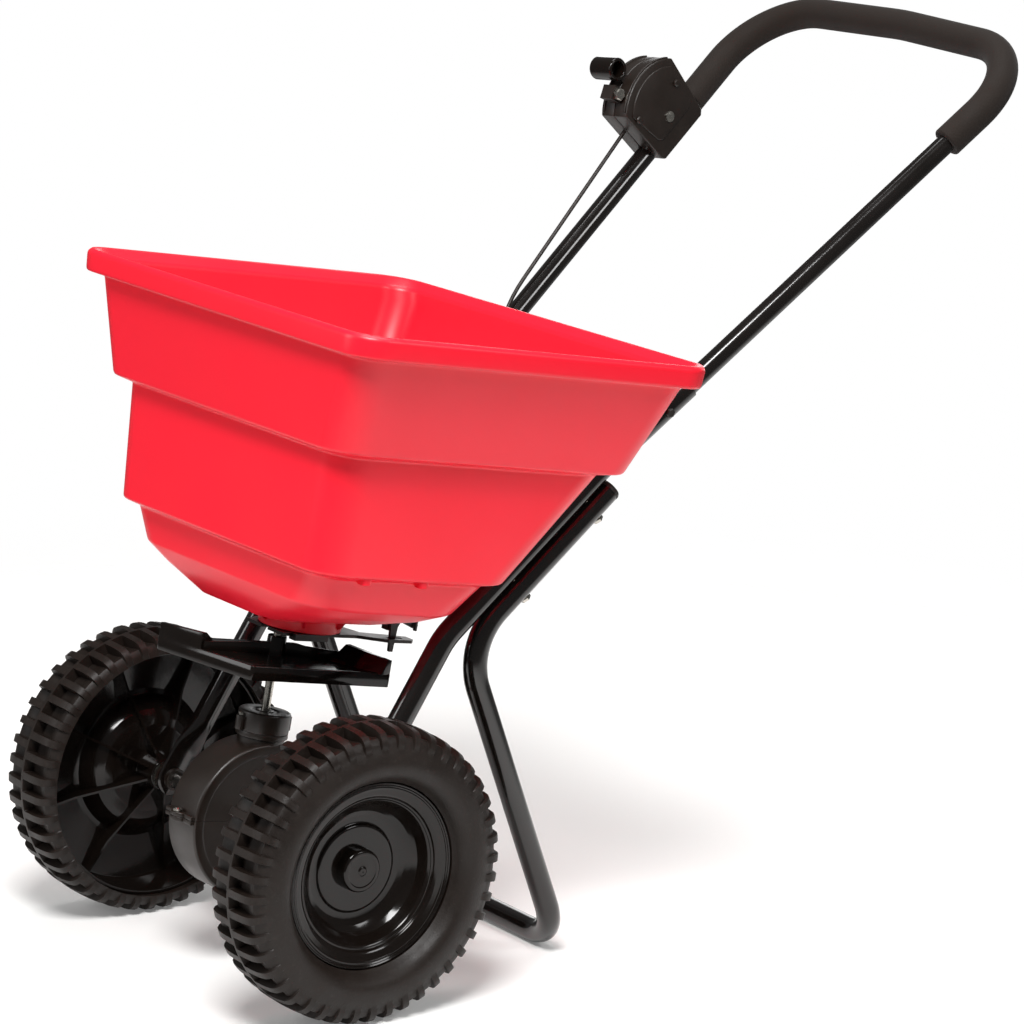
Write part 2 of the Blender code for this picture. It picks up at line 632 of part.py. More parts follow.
def build_hopper(body):
    """The moulded tub with its stepped walls, rolled rim, funnel and neck, as one shell."""
    sections = hopper_sections()
    wall = HOPPER_WALL / MM
    neck = NECK_RADIUS / MM
    centre = NECK_CENTRE
    outer = [round_loop(NECK_RADIUS, NECK_BOTTOM, centre), round_loop(NECK_RADIUS, NECK_BOTTOM + 12 * MM, centre)]
    for level, front, back, half_front, half_back, radius in sections:
        outer.append(rounded_loop(front * MM, back * MM, half_front * MM, half_back * MM,
                                  radius * MM, level * MM))
    inner = []
    level, front, back, half_front, half_back, radius = sections[-1]
    inner.append(rounded_loop((front - 6) * MM, (back - 6) * MM, (half_front - 7) * MM,
                              (half_back - 7) * MM, (radius - 5) * MM, level * MM))
    inner.append(rounded_loop((front - 13) * MM, (back - 13) * MM, (half_front - 20) * MM,
                              (half_back - 20) * MM, (radius - 7) * MM, (level - 8) * MM))
    for level, front, back, half_front, half_back, radius in sections[7::-1]:
        inner.append(rounded_loop((front - wall) * MM, (back - wall) * MM, (half_front - wall) * MM,
                                  (half_back - wall) * MM, (radius - wall) * MM, (level + 1.2) * MM))
    floor = NECK_BOTTOM + 3 * MM
    inner.append(round_loop(NECK_RADIUS - HOPPER_WALL, NECK_BOTTOM + 13.5 * MM, centre))
    inner.append(round_loop(NECK_RADIUS - HOPPER_WALL, floor, centre))
    tub = add("hopper", skin(outer + inner), red(), body)
    hole = turned([(SHAFT_RADIUS + 1.0 * MM, NECK_BOTTOM - 9 * MM), (SHAFT_RADIUS + 1.0 * MM, floor + 9 * MM)],
                  24, "Z", ring=False)
    boolean(tub, helper("hopper_shaft_hole", hole, body))
    port = extruded([(-20 * MM, 27 * MM), (20 * MM, 27 * MM), (22 * MM, 40 * MM), (-22 * MM, 40 * MM)],
                    NECK_BOTTOM - 5 * MM, floor + 5 * MM, "Z")
    boolean(tub, helper("hopper_port", port, body))


def build_outlet(body):
    """The sliding shut-off plate with its two guides, and the crank at the rear that moves it."""
    top = NECK_BOTTOM - GAP
    low = top - 3 * MM
    outline = [(-30 * MM, -16 * MM), (30 * MM, -16 * MM), (30 * MM, 66 * MM), (44 * MM, 92 * MM),
               (44 * MM, 118 * MM), (40 * MM, 122 * MM), (28 * MM, 122 * MM), (16 * MM, 78 * MM),
               (-30 * MM, 66 * MM)]
    plate = add("shut_off_plate", extruded(outline, low, top, "Z"), matte(), body)
    slot = extruded([(-18 * MM, 27 * MM), (18 * MM, 27 * MM), (18 * MM, 40 * MM), (-18 * MM, 40 * MM)],
                    low - 2 * MM, top + 2 * MM, "Z")
    boolean(plate, helper("plate_port", slot, body))
    notch = block((-5.2 * MM, -60 * MM, low - 2 * MM), (5.2 * MM, 9.5 * MM, top + 2 * MM))
    boolean(plate, helper("plate_notch", notch, body))
    gate = block((33.4 * MM, 95 * MM, low - 2 * MM), (38.2 * MM, 112 * MM, top + 2 * MM))
    boolean(plate, helper("plate_gate", gate, body))
    for name, sign in (("left", 1), ("right", -1)):
        x0, x1 = sorted((sign * 36 * MM, sign * 30.6 * MM))
        x2, x3 = sorted((sign * 36 * MM, sign * 26 * MM))
        guide = block((x0, -6 * MM, low - 2 * MM), (x1, 30 * MM, top))
        strip = add("plate_guide_" + name, guide, zinc(), body, smooth=False)
        lip = block((x2, -6 * MM, low - 3 * MM), (x3, 30 * MM, low - GAP))
        boolean(strip, helper("guide_lip_" + name, lip, body), "UNION")


# --------------------------------------------------------------------------- frame


def frame_point(y, radius_offset=0.0):
    """The point of a frame tube's upper run at a given y, moved square to it by an offset."""
    x = FRAME_HALF_WIDTH + max(0.0, y - SPLAY_START_Y) * HANDLE_SPLAY
    z = BEND_Z + (y - BEND_Y) * math.tan(FRAME_RISE)
    shift = Vector((0.0, math.sin(FRAME_RISE), -math.cos(FRAME_RISE))) * radius_offset
    return Vector((x, y, z)) + shift


def mirrored(path):
    return [Vector((-p.x, p.y, p.z)) for p in path]


def build_frame(root):
    """Frame tubes, stand, cross brace, upper handle, grip and their bolts."""
    foot = Vector((FRAME_HALF_WIDTH, 0.0, WHEEL_RADIUS))
    bend = frame_point(BEND_Y)
    down = (foot - bend).normalized()
    tip = foot + down * 16 * MM
    top = frame_point(FRAME_TOP_Y)

    def flatten(point):
        reach = (point - foot).length
        if reach < 26 * MM:
            return 4.2 / 11.1, 1.42
        if reach < 60 * MM:
            share = (reach - 26 * MM) / (34 * MM)
            return 4.2 / 11.1 + (1 - 4.2 / 11.1) * share, 1.42 - 0.42 * share
        return 1.0, 1.0

    start = [tip, foot + down * 10 * MM, foot - down * 14 * MM, foot - down * 26 * MM,
             foot - down * 44 * MM, foot - down * 62 * MM]
    upper = rounded_path([start[-1], bend, frame_point(SPLAY_START_Y), top],
                         [70 * MM, 120 * MM])
    path = start[:-1] + upper
    joint = top - (top - frame_point(SPLAY_START_Y)).normalized() * 58 * MM
    path = path[:-1] + [joint, top]
    for name, sign in (("left", 1), ("right", -1)):
        line = path if sign > 0 else mirrored(path)
        shape = tube(line, FRAME_RADIUS, 14, lambda p: flatten(Vector((abs(p.x), p.y, p.z))),
                     (HANDLE_RADIUS + GAP, 2))
        bar = add("frame_tube_" + name, shape, painted(), root)
        hole = turned([(10.8 * MM + GAP, -30 * MM), (10.8 * MM + GAP, 30 * MM)], 24, ring=False)
        boolean(bar, helper("bush_hole_" + name, hole, root,
                            Matrix.Translation((sign * FRAME_HALF_WIDTH, 0, WHEEL_RADIUS))))
    return path


def build_stand(root):
    """The bent stand behind the frame tubes, its end plugs and its bolts."""
    top = frame_point(277 * MM, STAND_OFFSET)
    run = Vector((0.0, math.cos(FRAME_RISE), math.sin(FRAME_RISE)))
    knee = Vector((FRAME_HALF_WIDTH, 139 * MM, 0.0))
    start = Vector((FRAME_HALF_WIDTH, top.y, top.z))
    knee.z = start.z - (start.y - knee.y) * math.tan(FRAME_RISE)
    half_flat = math.pi / STAND_SIDES
    foot = Vector((FRAME_HALF_WIDTH, STAND_FOOT_Y, FRAME_RADIUS * math.cos(half_flat)))
    # Rolling the section by this much lays one flat of the foot bar on the ground.
    roll = math.atan2(foot.y - knee.y, knee.z - foot.z) + half_flat
    corners = [start, knee, foot, Vector((-foot.x, foot.y, foot.z)),
               Vector((-knee.x, knee.y, knee.z)), Vector((-start.x, start.y, start.z))]
    path = rounded_path(corners, [62 * MM, 42 * MM, 42 * MM, 62 * MM], math.radians(18))
    add("stand_tube", tube(path, FRAME_RADIUS, STAND_SIDES, turn=roll), painted(), root)
    for name, sign in (("left", 1), ("right", -1)):
        spot = Matrix.Translation((sign * start.x, start.y, start.z)) @ Matrix.Rotation(
            FRAME_RISE - math.pi / 2, 4, "X")
        plug = turned([(FRAME_RADIUS + 0.2 * MM, GAP), (FRAME_RADIUS + 0.2 * MM, 2.5 * MM),
                       (FRAME_RADIUS - 1 * MM, 4.5 * MM)], 20, "Z", ring=False)
        add("stand_plug_" + name, plug, matte(), root, matrix=spot)


def build_handle(root):
    """The upper handle tube, its foam grip and the two joint bolts."""
    corner = frame_point(GRIP_Y)
    start = frame_point(FRAME_TOP_Y - 34 * MM)
    corners = [start, corner, Vector((-corner.x, corner.y, corner.z)), Vector((-start.x, start.y, start.z))]
    path = rounded_path(corners, [58 * MM, 58 * MM], math.radians(15))
    add("handle_tube", tube(path, HANDLE_RADIUS, 12), painted(), root)
    low = frame_point(GRIP_START_Y)
    corners = [low, corner, Vector((-corner.x, corner.y, corner.z)), Vector((-low.x, low.y, low.z))]
    path = rounded_path(corners, [58 * MM, 58 * MM], math.radians(15))
    sides = 12
    loops = []
    for radius, points in ((GRIP_RADIUS, path), (HANDLE_RADIUS + GAP, path[::-1])):
        side = None
        for i, point in enumerate(points):
            before, after = points[max(i - 1, 0)], points[min(i + 1, len(points) - 1)]
            along = (after - before).normalized()
            up = Vector((0.0, -math.sin(FRAME_RISE), math.cos(FRAME_RISE)))
            side = along.cross(up).normalized()
            if radius < GRIP_RADIUS:
                side = -side
            loops.append([point + side * radius * math.cos(a) + up * radius * math.sin(a)
                          for a in (2 * math.pi * j / sides for j in range(sides))])
    add("foam_grip", skin(loops, ring=True), foam(), root)

# --------------------------------------------------------------------------- fixings


def bolt_mesh(radius, head_radius, head, length, sides=6):
    """A bolt along +Z: its head below zero and its shank above."""
    loops = []
    for reach, level, shank in ((head_radius * 0.8, -head, False), (head_radius, -head * 0.8, False),
                                (head_radius, 0.0, False), (radius, 0.0, True), (radius, length, True)):
        loop = []
        for j in range(12):
            angle = 2 * math.pi * j / 12
            out = reach
            if not shank and sides == 6:
                out = reach * math.cos(math.pi / 6) / math.cos((angle % (math.pi / 3)) - math.pi / 6)
            loop.append((out * math.cos(angle), out * math.sin(angle), level))
        loops.append(loop)
    return skin(loops)


def bored(obj, name, radius, reach, matrix, parent):
    """Cuts a clearance hole along a bolt."""
    tool = turned([(radius, -reach), (radius, reach)], 14, "Z", ring=False)
    boolean(obj, helper(name, tool, parent, matrix))


def build_fixings(root):
    """Bolts through the stand and frame tubes, and one at each handle joint."""
    square = Matrix.Rotation(FRAME_RISE, 4, "X")
    stand, handle = bpy.data.objects["stand_tube"], bpy.data.objects["handle_tube"]
    for name, sign in (("left", 1), ("right", -1)):
        frame = bpy.data.objects["frame_tube_" + name]
        for k, y in enumerate(STAND_BOLT_Y):
            point = frame_point(y)
            spot = Matrix.Translation((sign * FRAME_HALF_WIDTH, point.y, point.z)) @ square
            low = -(STAND_OFFSET + FRAME_RADIUS + 0.4 * MM)
            bolt = bolt_mesh(3 * MM, 5.6 * MM, 3.4 * MM, FRAME_RADIUS * 2 + STAND_OFFSET + 2.5 * MM)
            matrix = spot @ Matrix.Translation((0, 0, low))
            add(f"stand_bolt_{name}_{k + 1}", bolt, zinc(), root, matrix=matrix)
            bored(frame, f"frame_bolt_hole_{name}_{k}", 3.2 * MM, 40 * MM, spot, root)
            bored(stand, f"stand_bolt_hole_{name}_{k}", 3.2 * MM, 40 * MM, spot, root)
        point = frame_point(FRAME_TOP_Y - 24 * MM)
        along = (frame_point(FRAME_TOP_Y) - frame_point(SPLAY_START_Y + 20 * MM)).normalized()
        along.x *= sign
        point.x *= sign
        up = Vector((0.0, -math.sin(FRAME_RISE), math.cos(FRAME_RISE)))
        side = along.cross(up).normalized() * sign
        place = Matrix((along.cross(side), along, side)).transposed().to_4x4()
        spot = Matrix.Translation(point) @ place
        bolt = bolt_mesh(2.4 * MM, 4.6 * MM, 2.6 * MM, FRAME_RADIUS * 2 + 2 * MM)
        matrix = spot @ Matrix.Translation((0, 0, FRAME_RADIUS + GAP)) @ Matrix.Rotation(math.pi, 4, "X")
        add("handle_bolt_" + name, bolt, matte(), root, matrix=matrix)
        bored(frame, "frame_joint_hole_" + name, 2.6 * MM, 30 * MM, spot, root)
        bored(handle, "handle_joint_hole_" + name, 2.6 * MM, 30 * MM, spot, root)


# --------------------------------------------------------------------------- control


def control_frame():
    """The control box's own frame on the right handle tube: +Y up the tube, +Z square to it."""
    point = frame_point(BOX_Y)
    along = (frame_point(FRAME_TOP_Y + 60 * MM) - frame_point(FRAME_TOP_Y)).normalized()
    along.x = -along.x
    up = Vector((0.0, -math.sin(FRAME_RISE), math.cos(FRAME_RISE)))
    across = along.cross(up).normalized()
    place = Matrix((across, along, across.cross(along))).transposed().to_4x4()
    return Matrix.Translation((-point.x, point.y, point.z)) @ place


def box_outline(inset, low=None):
    """The control box's side: a foot along the tube and an arc about the lever's pivot."""
    outline = []
    for k in range(11):
        angle = math.radians(46 + 92 * k / 10)
        reach = BOX_RADIUS - inset
        outline.append((reach * math.cos(angle), LEVER_PIVOT + reach * math.sin(angle)))
    foot = -10.0 * MM if low is None else low
    outline.append((-33 * MM + inset, foot + inset))
    outline.append((33 * MM - inset, foot + inset))
    return outline


def lever_outline():
    """The lever plate: round at the pivot, a long arm to the knob and a short horn for the rod."""
    outline = []
    for k in range(8):
        angle = math.radians(200 + 170 * k / 7)
        outline.append((7.6 * MM * math.cos(angle), 7.6 * MM * math.sin(angle)))
    lean = LEVER_REST
    for across, reach in ((6.5, 12), (4.5, 52), (4.5, 0), (-4.5, 0), (-4.5, 52), (-6.5, 22)):
        far = LEVER_LENGTH + 4 * MM if reach == 0 else reach * MM
        outline.append((across * MM * math.cos(lean) - far * math.sin(lean),
                        across * MM * math.sin(lean) + far * math.cos(lean)))
    outline.append((-19 * MM, 20 * MM))
    outline.append((-26 * MM, 15 * MM))
    outline.append((-22 * MM, 9 * MM))
    return outline


def build_control(root):
    """The control box on the right handle tube: two shells, lever, knob, stop and screws."""
    box = empty("control_frame", control_frame(), root)
    pivot_at = Matrix.Translation((0, 0, LEVER_PIVOT))
    lay = Matrix.Rotation(math.pi / 2, 4, "X")
    for name, sign in (("inner", 1), ("outer", -1)):
        x0, x1 = sorted((sign * GAP / 2, sign * BOX_HALF_DEPTH))
        shell = add("control_shell_" + name, extruded(box_outline(0), x0, x1), matte(), box)
        if sign > 0:
            raised = extruded(box_outline(9 * MM, 6 * MM), BOX_HALF_DEPTH - 1 * MM, BOX_HALF_DEPTH + 1.6 * MM)
            boolean(shell, helper("control_panel", raised, box), "UNION")
        y0, y1 = sorted((-sign * 1 * MM, sign * (BOX_HALF_DEPTH - 2.6 * MM)))
        hollow = extruded(box_outline(3 * MM, 8.9 * MM), y0, y1)
        boolean(shell, helper("control_hollow_" + name, hollow, box))
        slot = [(0.0, LEVER_PIVOT)]
        for k in range(9):
            angle = math.radians(52 + 80 * k / 8)
            slot.append((90 * MM * math.cos(angle), LEVER_PIVOT + 90 * MM * math.sin(angle)))
        y0, y1 = sorted((-sign * 1 * MM, sign * 3.2 * MM))
        boolean(shell, helper("control_slot_" + name, extruded(slot, y0, y1), box))
        channel = turned([(HANDLE_RADIUS + GAP, -60 * MM), (HANDLE_RADIUS + GAP, 60 * MM)],
                         20, "Z", ring=False)
        boolean(shell, helper("control_tube_" + name, channel, box, lay))
        drill = turned([(bore(3.0 * MM, 20), -40 * MM), (bore(3.0 * MM, 20), 40 * MM)], 20, ring=False)
        boolean(shell, helper("control_bore_" + name, drill, box, pivot_at))
        for k, (across, up) in enumerate(BOX_SCREWS):
            hole = turned([(1.8 * MM, -40 * MM), (1.8 * MM, 40 * MM)], 14, ring=False)
            spot = Matrix.Translation((0, across, up))
            boolean(shell, helper(f"control_screw_hole_{name}_{k}", hole, box, spot))
        if sign < 0:
            gate = block((-9 * MM, -60 * MM, 24 * MM), (1 * MM, -24 * MM, 55 * MM))
            boolean(shell, helper("control_rod_gate", gate, box))
    for k, (across, up) in enumerate(BOX_SCREWS):
        head = BOX_HALF_DEPTH + 2.0 * MM
        low = -BOX_HALF_DEPTH + 2 * MM if k else 8 * MM
        screw = turned([(1.6 * MM, low), (1.6 * MM, head), (3.6 * MM, head),
                        (3.6 * MM, head + 1.6 * MM), (2.4 * MM, head + 2.4 * MM)], 14, ring=False)
        add(f"box_screw_{k + 1}", screw, matte() if k else zinc(), box,
            matrix=Matrix.Translation((0, across, up)))
    arm = add("lever_arm", extruded(lever_outline(), -1.5 * MM, 1.5 * MM), zinc(), box, matrix=pivot_at)
    drill = turned([(bore(3.0 * MM, 20), -20 * MM), (bore(3.0 * MM, 20), 20 * MM)], 20, ring=False)
    boolean(arm, helper("lever_bore", drill, box, pivot_at))
    knob = turned([(11.4 * MM, 3.6 * MM), (11.4 * MM, -25 * MM), (9.6 * MM, -27 * MM),
                   (0.5 * MM, -27 * MM), (0.5 * MM, -8 * MM), (7.0 * MM, -8 * MM), (7.0 * MM, 4.2 * MM),
                   (10.2 * MM, 4.2 * MM)], 24)
    tip = (-LEVER_LENGTH * math.sin(LEVER_REST), LEVER_PIVOT + LEVER_LENGTH * math.cos(LEVER_REST))
    place = Matrix.Translation((0, *tip)) @ Matrix.Rotation(LEVER_REST, 4, "X")
    grip = add("lever_knob", knob, gloss(), box, matrix=place)
    cut = block((-1.9 * MM, -5.1 * MM, -20 * MM), (1.9 * MM, 5.1 * MM, 5 * MM))
    boolean(grip, helper("knob_slot", cut, box, place))
    pin = turned([(2.6 * MM, BOX_HALF_DEPTH + 3.2 * MM), (5.4 * MM, BOX_HALF_DEPTH + 2.6 * MM),
                  (5.4 * MM, BOX_HALF_DEPTH + 0.4 * MM), (3.0 * MM, BOX_HALF_DEPTH + 0.4 * MM),
                  (3.0 * MM, -BOX_HALF_DEPTH + 1 * MM)][::-1], 20, ring=False)
    add("lever_pivot_screw", pin, zinc(), box, matrix=pivot_at)
    seat = turned([(6.2 * MM, BOX_HALF_DEPTH + 0.2 * MM), (6.2 * MM, BOX_HALF_DEPTH + 6 * MM)], 24, ring=False)
    boolean(bpy.data.objects["control_shell_inner"], helper("pivot_seat", seat, box, pivot_at))
    build_stop(box, pivot_at)
    return box


def build_stop(box, pivot_at):
    """The stop that rides in the arc slot, with the bolt that clamps it."""
    low, high = BOX_RADIUS - 10 * MM, BOX_RADIUS + 13 * MM
    turn = Matrix.Rotation(STOP_ANGLE, 4, "X")
    stem = block((-2.8 * MM, -5 * MM, low), (2.8 * MM, 5 * MM, high))
    stop = add("stop_block", stem, matte(), box, smooth=False, matrix=pivot_at @ turn)
    cap = block((-8 * MM, -7 * MM, BOX_RADIUS + 0.9 * MM), (8 * MM, 7 * MM, BOX_RADIUS + 14 * MM))
    boolean(stop, helper("stop_cap", cap, box, pivot_at @ turn), "UNION")
    drill = turned([(2.7 * MM, -30 * MM), (2.7 * MM, 30 * MM)], 16, ring=False)
    spot = pivot_at @ turn @ Matrix.Translation((0, 0, BOX_RADIUS + 7.2 * MM))
    boolean(stop, helper("stop_bore", drill, box, spot))
    bolt = bolt_mesh(2.5 * MM, 6.6 * MM, 4.2 * MM, 20 * MM)
    place = spot @ Matrix.Translation((8 * MM + GAP, 0, 0)) @ Matrix.Rotation(-math.pi / 2, 4, "Y")
    add("stop_bolt", bolt, zinc(), box, matrix=place)


# --------------------------------------------------------------------------- linkage


def leaned(x, back, up):
    """A point given in the leaning body's frame."""
    y = back * math.cos(BODY_LEAN) + up * math.sin(BODY_LEAN)
    z = WHEEL_RADIUS - back * math.sin(BODY_LEAN) + up * math.cos(BODY_LEAN)
    return Vector((x, y, z))


def build_linkage(root, body):
    """The rod from the lever down behind the hopper, and the crank that moves the plate."""
    place = control_frame()
    upper = place @ Vector((-4.2 * MM, -21 * MM, LEVER_PIVOT + 14 * MM))
    near = place @ Vector((-4.2 * MM, -30 * MM, 35.0 * MM))
    low = place @ Vector((-2.0 * MM, -252 * MM, 15.0 * MM))
    corners = [upper, near, low, Vector((-108 * MM, 330 * MM, 512 * MM)),
               leaned(-60 * MM, 268 * MM, 392 * MM), leaned(36 * MM, 172 * MM, 276 * MM),
               leaned(40.2 * MM, 122 * MM, 216 * MM), leaned(40.2 * MM, 122 * MM, 186 * MM)]
    path = rounded_path(corners, [8 * MM, 120 * MM, 50 * MM, 50 * MM, 40 * MM, 30 * MM], math.radians(16))
    add("link_rod", tube(path, ROD_RADIUS, 8), matte(), root)
    ledge = HOPPER_TOP - 222 * MM - GAP
    side = [(96, 184), (106, 184), (106, 206), (120, 212), (120, 248), (124, 250), (124, ledge / MM),
            (111, ledge / MM), (111, 218), (96, 210)]
    stay = add("crank_bracket", extruded([(a * MM, b * MM) for a, b in side], 24 * MM, 33 * MM),
               matte(), body, smooth=False)
    pin_at = Matrix.Translation((0, 101 * MM, 198 * MM))
    hole = turned([(bore(2.5 * MM, 20), 10 * MM), (bore(2.5 * MM, 20), 60 * MM)], 20, ring=False)
    boolean(stay, helper("bracket_hole", hole, body, pin_at))
    outline = [(-6, 3), (-4, 6), (2, 6.5), (24, -2), (26, -8), (22, -11), (6, -5), (3.5, -10),
               (2, -33), (-2, -33), (-4.5, -8)]
    crank = add("plate_crank", extruded([(a * MM, b * MM) for a, b in outline], 34.2 * MM, 37.4 * MM),
                matte(), body, matrix=pin_at)
    boolean(crank, helper("crank_bore", hole.copy(), body, pin_at))
    pin = turned([(2.5 * MM, 22 * MM), (2.5 * MM, 38.2 * MM), (4.4 * MM, 38.2 * MM), (4.4 * MM, 40 * MM)],
                 20, ring=False)
    add("crank_pin", pin, zinc(), body, matrix=pin_at)


def main():
    clear_scene()
    root = empty("spreader", Matrix.Translation((0.0, -AXLE_FORWARD, 0.0)))
    lean = Matrix.Translation(AXLE_CENTRE) @ Matrix.Rotation(-BODY_LEAN, 4, "X")
    body = empty("leaning_body", lean, root)
    axle = build_wheels(root)
    build_gearbox(body)
    build_gears(body, axle)
    build_impeller(body)
    build_hopper(body)
    build_outlet(body)
    build_frame(root)
    build_stand(root)
    build_handle(root)
    build_fixings(root)
    build_control(root)
    build_linkage(root, body)


main()
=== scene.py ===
"""A walk-behind garden spreader, dressed around its packed mechanical model.

Each sub-assembly is a class that holds its sizes in millimetres, measured from the axle or
along the leaning hopper axis. The shape tools turn them to metres when a mesh is made. Each
finish is a frozen dataclass that builds one node material.
"""

import json
import logging
import math
from collections.abc import Callable, Sequence
from dataclasses import dataclass, field
from enum import Enum
from typing import Any

import bmesh
import bpy
from mathutils import Matrix, Vector


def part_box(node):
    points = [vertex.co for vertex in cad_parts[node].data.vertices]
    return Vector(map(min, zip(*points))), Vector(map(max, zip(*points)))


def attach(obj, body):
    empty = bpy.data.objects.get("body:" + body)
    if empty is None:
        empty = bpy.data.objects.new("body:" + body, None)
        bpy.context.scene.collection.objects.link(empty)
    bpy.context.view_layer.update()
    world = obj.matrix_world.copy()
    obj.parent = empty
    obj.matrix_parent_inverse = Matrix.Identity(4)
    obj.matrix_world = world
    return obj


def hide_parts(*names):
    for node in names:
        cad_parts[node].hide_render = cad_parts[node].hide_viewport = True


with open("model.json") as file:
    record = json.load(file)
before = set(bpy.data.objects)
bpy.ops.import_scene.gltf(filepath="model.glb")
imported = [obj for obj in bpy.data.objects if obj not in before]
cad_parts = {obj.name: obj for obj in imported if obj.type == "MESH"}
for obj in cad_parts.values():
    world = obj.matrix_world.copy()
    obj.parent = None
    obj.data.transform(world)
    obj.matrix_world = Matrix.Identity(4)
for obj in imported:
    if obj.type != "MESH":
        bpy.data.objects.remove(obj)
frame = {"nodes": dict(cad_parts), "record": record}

log = logging.getLogger("spreader")
MM = 0.001
Point = Sequence[float]
Table = tuple[tuple[float, ...], ...]
Loop = list[Point]
Mesh = bpy.types.Mesh
Tree = bpy.types.NodeTree
Socket = bpy.types.NodeSocket


class Body(Enum):
    """The rigid bodies of the mechanical model."""

    FRAME = "frame"
    DRIVE = "drive_axle"
    FREE = "free_wheel"
    IMPELLER = "impeller_set"
    LEVER = "lever"
    ROD = "rod"


class Slot(Enum):
    """The record's material slots."""

    HOPPER = "hopper_red"
    GLOSS = "moulded_black"
    HOUSING = "housing_black"
    PAINT = "painted_tube"
    TYRE = "tyre_rubber"
    FOAM = "foam"
    ZINC = "zinc"
    STEEL = "steel"


class Axis(Enum):
    """The axis that a shape is turned about or carried along."""

    X = "x"
    Z = "z"


# ---- finishes


def linear(code: str) -> tuple[float, float, float, float]:
    """Turns an sRGB hex colour to linear light.

    Args:
        code: The colour as six hex digits.

    Returns:
        Red, green, blue and an alpha of one.
    """
    parts = [int(code[i : i + 2], 16) / 255 for i in (0, 2, 4)]
    light = [v / 12.92 if v <= 0.04045 else ((v + 0.055) / 1.055) ** 2.4 for v in parts]
    return (light[0], light[1], light[2], 1.0)


def add_node(tree: Tree, kind: str, settings: dict[str, Any] | None = None,
             **sockets: Any) -> bpy.types.Node:
    """Adds a node with its settings, values and links.

    Args:
        tree: The node tree it goes in.
        kind: The node's class name.
        settings: Node properties to set.
        **sockets: An input's name, with _ for a space, or in_N for input N; a value to
            store there, or an output to link to it.

    Returns:
        The new node.
    """
    node = tree.nodes.new(kind)
    for name, value in (settings or {}).items():
        setattr(node, name, value)
    for name, value in sockets.items():
        numbered = name.startswith("in_")
        socket = node.inputs[int(name[3:])] if numbered else node.inputs[name.replace("_", " ")]
        if isinstance(value, Socket):
            tree.links.new(value, socket)
        else:
            socket.default_value = value
    return node


@dataclass(frozen=True)
class Finish:
    """A real surface: its colour, its gloss and the two scales at which it varies.

    Attributes:
        name: What the surface is called.
        colour: Main sRGB colour.
        shade: sRGB colour that its slow patches lean to.
        roughness: Middle of its roughness.
        wander: How far the roughness moves either way.
        patch_mm: Size of the slow patches.
        grain_mm: Size of the fine grain.
        grain_depth_mm: Height of the fine grain.
        ior: Index of refraction.
        metallic: One for a bare metal.
        coat: Weight of a clear coat.
    """

    name: str
    colour: str
    shade: str
    roughness: float
    wander: float
    patch_mm: float
    grain_mm: float
    grain_depth_mm: float
    ior: float = 1.5
    metallic: float = 0.0
    coat: float = 0.0

    def build(self) -> bpy.types.Material:
        """Builds the node material.

        Returns:
            The material, ready to assign.
        """
        made = bpy.data.materials.new(self.name)
        made.use_nodes = True
        tree = made.node_tree
        shader = tree.nodes["Principled BSDF"]
        place = add_node(tree, "ShaderNodeTexCoord").outputs["Object"]
        patches = add_node(tree, "ShaderNodeTexNoise", Vector=place, Scale=1 / (self.patch_mm * MM),
                           Detail=3.0, Roughness=0.55).outputs["Fac"]
        mixed = add_node(tree, "ShaderNodeMix", {"data_type": "RGBA"}, Factor=patches,
                         in_6=linear(self.colour), in_7=linear(self.shade))
        colour = self.marks(tree, place, mixed.outputs[2])
        tree.links.new(colour, shader.inputs["Base Color"])
        rough = add_node(tree, "ShaderNodeMapRange", Value=patches, From_Min=0.3, From_Max=0.7,
                         To_Min=max(0.02, self.roughness - self.wander),
                         To_Max=self.roughness + self.wander)
        tree.links.new(rough.outputs["Result"], shader.inputs["Roughness"])
        bump = add_node(tree, "ShaderNodeBump", Height=self.relief(tree, place), Strength=1.0,
                        Distance=self.grain_depth_mm * MM)
        tree.links.new(bump.outputs["Normal"], shader.inputs["Normal"])
        shader.inputs["Metallic"].default_value = self.metallic
        if not self.metallic:
            shader.inputs["IOR"].default_value = self.ior
        shader.inputs["Coat Weight"].default_value = self.coat
        shader.inputs["Coat Roughness"].default_value = 0.06
        self.extras(shader)
        return made

    def relief(self, tree: Tree, place: Socket) -> Socket:
        """The fine height pattern: an even moulded grain unless a finish says otherwise."""
        return add_node(tree, "ShaderNodeTexNoise", Vector=place, Scale=1 / (self.grain_mm * MM),
                        Detail=2.0).outputs["Fac"]

    def marks(self, tree: Tree, place: Socket, colour: Socket) -> Socket:
        """Colour marks over the slow patches: none unless a finish says otherwise."""
        return colour

    def extras(self, shader: bpy.types.Node) -> None:
        """Sets sockets that only one finish uses."""


@dataclass(frozen=True)
class MouldedHopper(Finish):
    """Injection-moulded polypropylene, dyed through: an even satin with a soft inner glow."""

    name: str = "hopper_polypropylene"
    colour: str = "FB1A33"
    shade: str = "F5162D"
    roughness: float = 0.36
    wander: float = 0.035
    patch_mm: float = 90.0
    grain_mm: float = 1.2  # spark-eroded grain is 0.1 mm; drawn coarser so that it shows
    grain_depth_mm: float = 0.012
    ior: float = 1.49

    def extras(self, shader: bpy.types.Node) -> None:
        """Lets a little light into the wall, as unfilled polypropylene does."""
        shader.inputs["Subsurface Weight"].default_value = 0.06
        shader.inputs["Subsurface Radius"].default_value = (1.0, 0.25, 0.2)
        shader.inputs["Subsurface Scale"].default_value = 0.004


